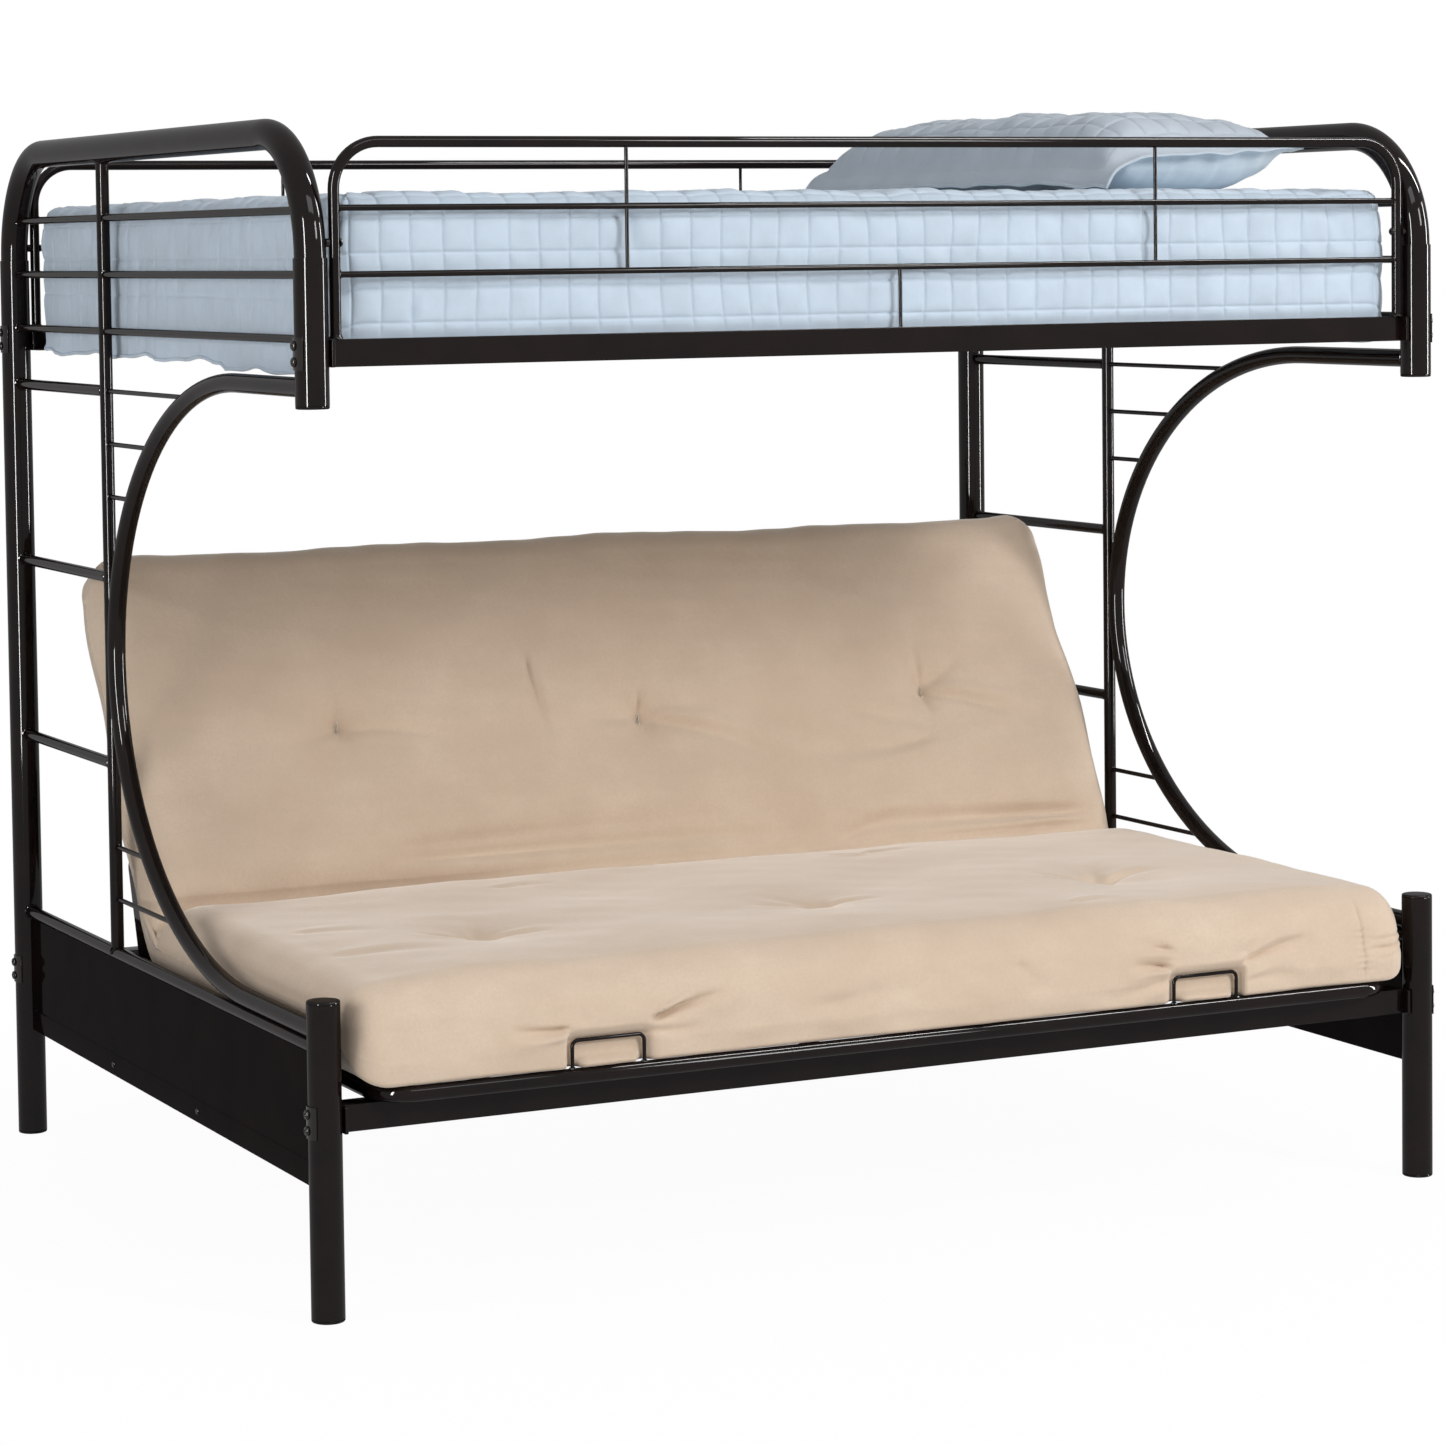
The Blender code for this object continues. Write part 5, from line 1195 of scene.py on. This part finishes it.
def make_coverlet():
    """Quilted cover: square channels, plain bound hem and folds at the ends."""
    flat, faces = cover_grid()
    x, y, down = flat.T
    hung = down > 0
    plan_x, plan_y, out_x, out_y, over = cover_plan(x, y)
    inset, depth, face_up, face_out = cover_shoulder(hung, down, COVER_CORNER - over)

    # folds and hem: at_end is 1 on the end drops and 0 on the side drops
    at_end = out_x ** 2
    share = clamp((depth - COVER_SHOULDER) / (COVER_DROP - COVER_SHOULDER))
    fold_turn = 2 * math.pi * plan_y / FOLD_PITCH
    wave = (np.sin(fold_turn) + np.sin(1.5 * fold_turn) / 2) / 1.5
    side_up = share * (1 - at_end) * (HEM_SIDE_Z - HEM_END_Z)
    fold_out = 0.009 * share * at_end * (1 + wave) / 2
    lobes = 0.5 + 0.32 * np.sin(plan_y * 23 + 1.9) + 0.18 * np.sin(plan_y * 47)
    flap = clamp((-0.26 - plan_y * np.sign(-plan_x)) / 0.03)
    hem_wave = -share ** 3 * at_end * (0.003 + 0.010 * lobes + 0.010 * flap)

    # quilting: flat-cloth coordinates on the top and on each drop
    cloth_u = np.where(at_end > 0.25, COVER_HALF_X + down, x)
    cloth_v = np.where(at_end > 0.25, y, COVER_HALF_X + down)
    drop_puff = puffed(down - DROP_LINE, DROP_CELL)
    puff_u = np.where(hung & (at_end > 0.5), drop_puff, puffed(x))
    puff_v = np.where(hung & (at_end <= 0.5), drop_puff, puffed(y - COVER_MID_Y))
    hem = clamp((COVER_DROP - down - 0.020) / 0.006)
    loose = 1 - 0.45 * at_end * hung
    quilt = 0.0052 * np.minimum(puff_u, puff_v) ** 0.42 * hem * loose - 0.0024
    soft = 0.0024 * waves(cloth_u, cloth_v, 31, 0.22) + 0.0014 * waves(cloth_u, cloth_v, 32, 0.07)
    fine = 0.0013 * waves(plan_y, down * 0.25, 33, 0.030) * at_end * hung
    lift = quilt + soft * (0.5 + 0.5 * (1 - share)) + fine
    facing = (out_y < -0.5) & hung
    for crease in COVER_CREASES:
        lift += groove(x, down, *crease) * facing
    # the rows of stitches wander a little
    plan_x = plan_x + 0.0028 * waves(cloth_u, cloth_v, 61, 0.20) * (1 - at_end)

    px = plan_x + out_x * (-inset + fold_out + face_out * lift)
    py = plan_y + out_y * (-inset + face_out * lift)
    pz = COVER_TOP - depth + side_up + hem_wave + face_up * lift
    points = np.column_stack([px, py, pz])
    cover = make_soft("quilted_coverlet", points, faces, COTTON)
    thick = cover.modifiers.new("Thick", "SOLIDIFY")
    thick.thickness = 0.004
    thick.offset = -1.0
    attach(cover, "root")
    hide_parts("coverlet")

    # bound hem: the lowest row of points carries a round binding
    low = np.flatnonzero(np.abs(down - COVER_DROP) < 1e-9)
    turn = np.arctan2(points[low, 1] - COVER_MID_Y, points[low, 0])
    ring = points[low][np.argsort(turn)]
    binding = bar(ring, 0.0030, 10, closed=True)
    hem_piece = make_piece("coverlet_binding", [binding], COTTON, "root", (), 0)


def make_mattress():
    """Upper mattress: a rounded block under the coverlet, seen between the slats."""
    inset, radius = 0.008, 0.045
    top = COVER_TOP - COVER_T - 0.0015
    half = np.array((COVER_HALF_X - inset, COVER_HALF_Y - inset, (top - MATTRESS_BOTTOM) / 2))
    centre = np.array((0.0, COVER_MID_Y, (top + MATTRESS_BOTTOM) / 2))
    mesh = bmesh.new()
    bmesh.ops.create_cube(mesh, size=2.0)
    bmesh.ops.subdivide_edges(mesh, edges=mesh.edges, cuts=40, use_grid_fill=True)
    for vert in mesh.verts:
        place = np.array(vert.co) * half
        core = np.clip(place, -half + radius, half - radius)
        away = place - core
        size = np.linalg.norm(away)
        if size > 1e-9:
            place = core + away / size * radius
        vert.co = Vector(place + centre)
    data = bpy.data.meshes.new("bunk_mattress")
    mesh.to_mesh(data)
    mesh.free()
    mattress = placed("bunk_mattress", data, TICKING)
    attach(mattress, "root")
    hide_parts("upper_mattress")


def make_pillow():
    """Quilted sham: puffed upper face, plain underside and a stitched flange."""
    halves = (PILLOW_HALF_W, PILLOW_HALF_L)
    x, y = np.meshgrid(*(stitched_steps(-half, half, 0.0) for half in halves), indexing="ij")
    across, along = x / PILLOW_HALF_W, y / PILLOW_HALF_L
    # a flat flange runs round the filled part
    inset = np.minimum(PILLOW_HALF_W - np.abs(x), PILLOW_HALF_L - np.abs(y))
    fill_x = clamp(np.abs(x) / (PILLOW_HALF_W - PILLOW_FLANGE))
    fill_y = clamp(np.abs(y) / (PILLOW_HALF_L - PILLOW_FLANGE))
    full = clamp((1 - fill_x ** 3.4) * (1 - fill_y ** 6)) ** 0.50
    # the left side droops to the coverlet, and the right side stands on the filling
    right = (across + 1) / 2
    seam = 0.005 + 0.060 * (1 - np.exp(-right / 0.075)) + 0.012 * clamp(-along) * right ** 2
    seam += 0.014 * (1 - along ** 4) * np.exp(-right / 0.12)
    inner = clamp((inset - PILLOW_FLANGE) / 0.01)
    quilt = 0.0060 * np.minimum(puffed(x), puffed(y)) ** 0.42 * inner
    stitches = bell(inset - PILLOW_FLANGE, 0.0035) + 0.7 * bell(inset - 0.008, 0.0030)
    soft = 0.0034 * waves(x, y, 41, 0.25) + 0.0016 * waves(x, y, 42, 0.09)
    flange = 0.0030 * waves(x, y, 44, 0.10) * clamp(1 - inset / 0.05)
    top = 0.0025 + seam + 0.068 * full + (quilt + soft) * clamp(full * 3) - 0.0022 * stitches
    rest = clamp(full / 0.85)
    folds = 0.0040 * waves(x * 2.2, y, 43, 0.11) * clamp(1 - rest) * clamp(inset / 0.03)
    under = -0.0025 + seam - (seam - 0.0025) * rest + np.maximum(folds, -0.4 * seam)
    flange = np.maximum(flange, 0.002 - seam)
    top, under = top + flange, under + flange
    x = x - 0.004 * across * (1 - along ** 2)
    y = y - 0.006 * along * (1 - across ** 2)
    # the two faces, and a wall between their edges
    points = np.concatenate([np.stack([x, y, z], axis=-1).reshape(-1, 3) for z in (top, under)])
    base = x.size
    grid = np.arange(base).reshape(x.shape)
    quads = np.stack([grid[:-1, :-1], grid[1:, :-1], grid[1:, 1:], grid[:-1, 1:]], axis=-1).reshape(-1, 4)
    faces = quads.tolist() + (base + quads[:, ::-1]).tolist()
    edge = np.concatenate([grid[:, 0], grid[-1, 1:], grid[-2::-1, -1], grid[0, -2:0:-1]]).tolist()
    for a, b in zip(edge, edge[1:] + edge[:1]):
        faces.append((b, a, base + a, base + b))
    place = Matrix.Translation((*PILLOW_PLACE, COVER_TOP + GAP)) @ Matrix.Rotation(PILLOW_TURN, 4, "Z")
    points, faces = moved((points, faces), place)
    # the pillow's material carries painted shade on its top and painted light on faces that look down
    pillow = make_soft("quilted_pillow", points, faces, SHAM_PAINTED_LIGHT_AND_SHADE)
    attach(pillow, "root")
    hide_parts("pillow")
    piping = bar(points[edge] - (0, 0, 0.0025), 0.0028, 10, closed=True)
    # the piping shares the pillow's material, with its painted light and shade
    make_piece("pillow_piping", [piping], SHAM_PAINTED_LIGHT_AND_SHADE, "root", (), 0)


# Stage

def make_floor():
    """Pale floor that fades into the white surround and keeps the shadow."""
    bpy.ops.mesh.primitive_circle_add(vertices=96, radius=9.0, fill_type="NGON", location=(0, 0, -0.0005))
    floor = bpy.context.object
    floor.name = "studio_floor"
    material = bpy.data.materials.new("studio_floor")
    nodes = Nodes(material)
    place = nodes.node("TexCoord").outputs["Object"]
    length = nodes.node("VectorMath", {0: place}, operation="LENGTH").outputs["Value"]
    plain = nodes.node("BsdfDiffuse", {"Color": (0.90, 0.90, 0.90, 1)})
    white = nodes.node("Emission", {"Color": WHITE})
    fade = nodes.spread(length, 1.0, 2.2, 0.96, 1.0)
    nodes.end("OutputMaterial", nodes.maths("MULTIPLY", nodes.seen(), fade), plain, white)
    floor.data.materials.append(material)


def make_world():
    """White for the camera and in reflections, a plain fill for the rest."""
    fill = 0.30
    world = bpy.data.worlds.new("studio")
    bpy.context.scene.world = world
    nodes = Nodes(world)
    plain, white = (nodes.node("Background", {"Color": WHITE, "Strength": level}) for level in (fill, 1.0))
    nodes.end("OutputWorld", nodes.seen(), plain, white)


def make_lamp(name, place, target, width, height, power):
    data = bpy.data.lights.new(name, "AREA")
    data.shape = "RECTANGLE"
    data.size = width
    data.size_y = height
    data.energy = power
    lamp = bpy.data.objects.new(name, data)
    lamp.location = place
    lamp.rotation_mode = "QUATERNION"
    lamp.rotation_quaternion = (Vector(target) - Vector(place)).to_track_quat("-Z", "Y")
    bpy.context.scene.collection.objects.link(lamp)
    return lamp


def make_lamps():
    """Key and front lamps, fills that aren't mirrored, and gleams that only are."""
    make_lamp("key", (3.4, -7.0, 4.4), (0.2, 0.0, 0.7), 1.4, 1.8, 298)
    make_lamp("front", (0.0, -3.6, 4.4), (0.0, -0.3, 0.6), 2.4, 1.0, 50)
    make_lamp("fill", (-4.6, -1.4, 1.6), (-0.4, 0.0, 0.9), 1.8, 1.8, 55).visible_glossy = False
    make_lamp("side", (2.7, -0.5, 1.2), (0.3, 0.1, 0.6), 1.1, 0.8, 12).visible_glossy = False
    for gleam in (
        ("left_gleam", (-4.6, -3.2, 1.9), (0.0, 0.0, 1.9), 0.42, 3.7, 560),
        ("right_gleam", (5.4, -2.4, 1.9), (0.0, 0.0, 1.9), 0.42, 3.7, 560),
        ("front_gleam", (3.0, -1.5, 4.5), (0.4, -1.5, 0.33), 0.34, 3.4, 400),
    ):
        make_lamp(*gleam).visible_diffuse = False


def make_camera():
    """Camera fitted to measured points of the photograph."""
    yaw, pitch, roll = 0.45820, 0.05630, -0.01182
    right = Vector((math.cos(yaw), -math.sin(yaw), 0))
    level = Vector((math.sin(yaw), math.cos(yaw), 0))
    up = Vector(UP) * math.cos(pitch) + level * math.sin(pitch)
    ahead = level * math.cos(pitch) - Vector(UP) * math.sin(pitch)
    turned_right = right * math.cos(roll) + up * math.sin(roll)
    turned_up = up * math.cos(roll) - right * math.sin(roll)
    data = bpy.data.cameras.new("camera")
    data.lens = 102.031
    data.sensor_width = 36.0
    data.shift_y = -0.16782
    data.clip_end = 100.0
    camera = bpy.data.objects.new("camera", data)
    matrix = Matrix((turned_right, turned_up, -ahead)).transposed().to_4x4()
    matrix.translation = (-3.08828, -6.36183, 1.57577)
    camera.matrix_world = matrix
    bpy.context.scene.collection.objects.link(camera)
    bpy.context.scene.camera = camera


def build():
    """Everything that the picture shows, piece by piece."""
    make_posts()
    make_bows()
    make_ends()
    make_panels()
    make_screws()
    make_side_rails()
    make_rail_bolts()
    make_guards()
    make_guard_bolts()
    make_caps()
    make_sofa_frames()
    dress_plates()
    make_futon()
    make_tuft_threads()
    make_mattress()
    make_coverlet()
    make_pillow()
    make_floor()
    make_world()
    make_lamps()
    make_camera()
    bpy.context.scene.view_settings.view_transform = "Standard"


build()
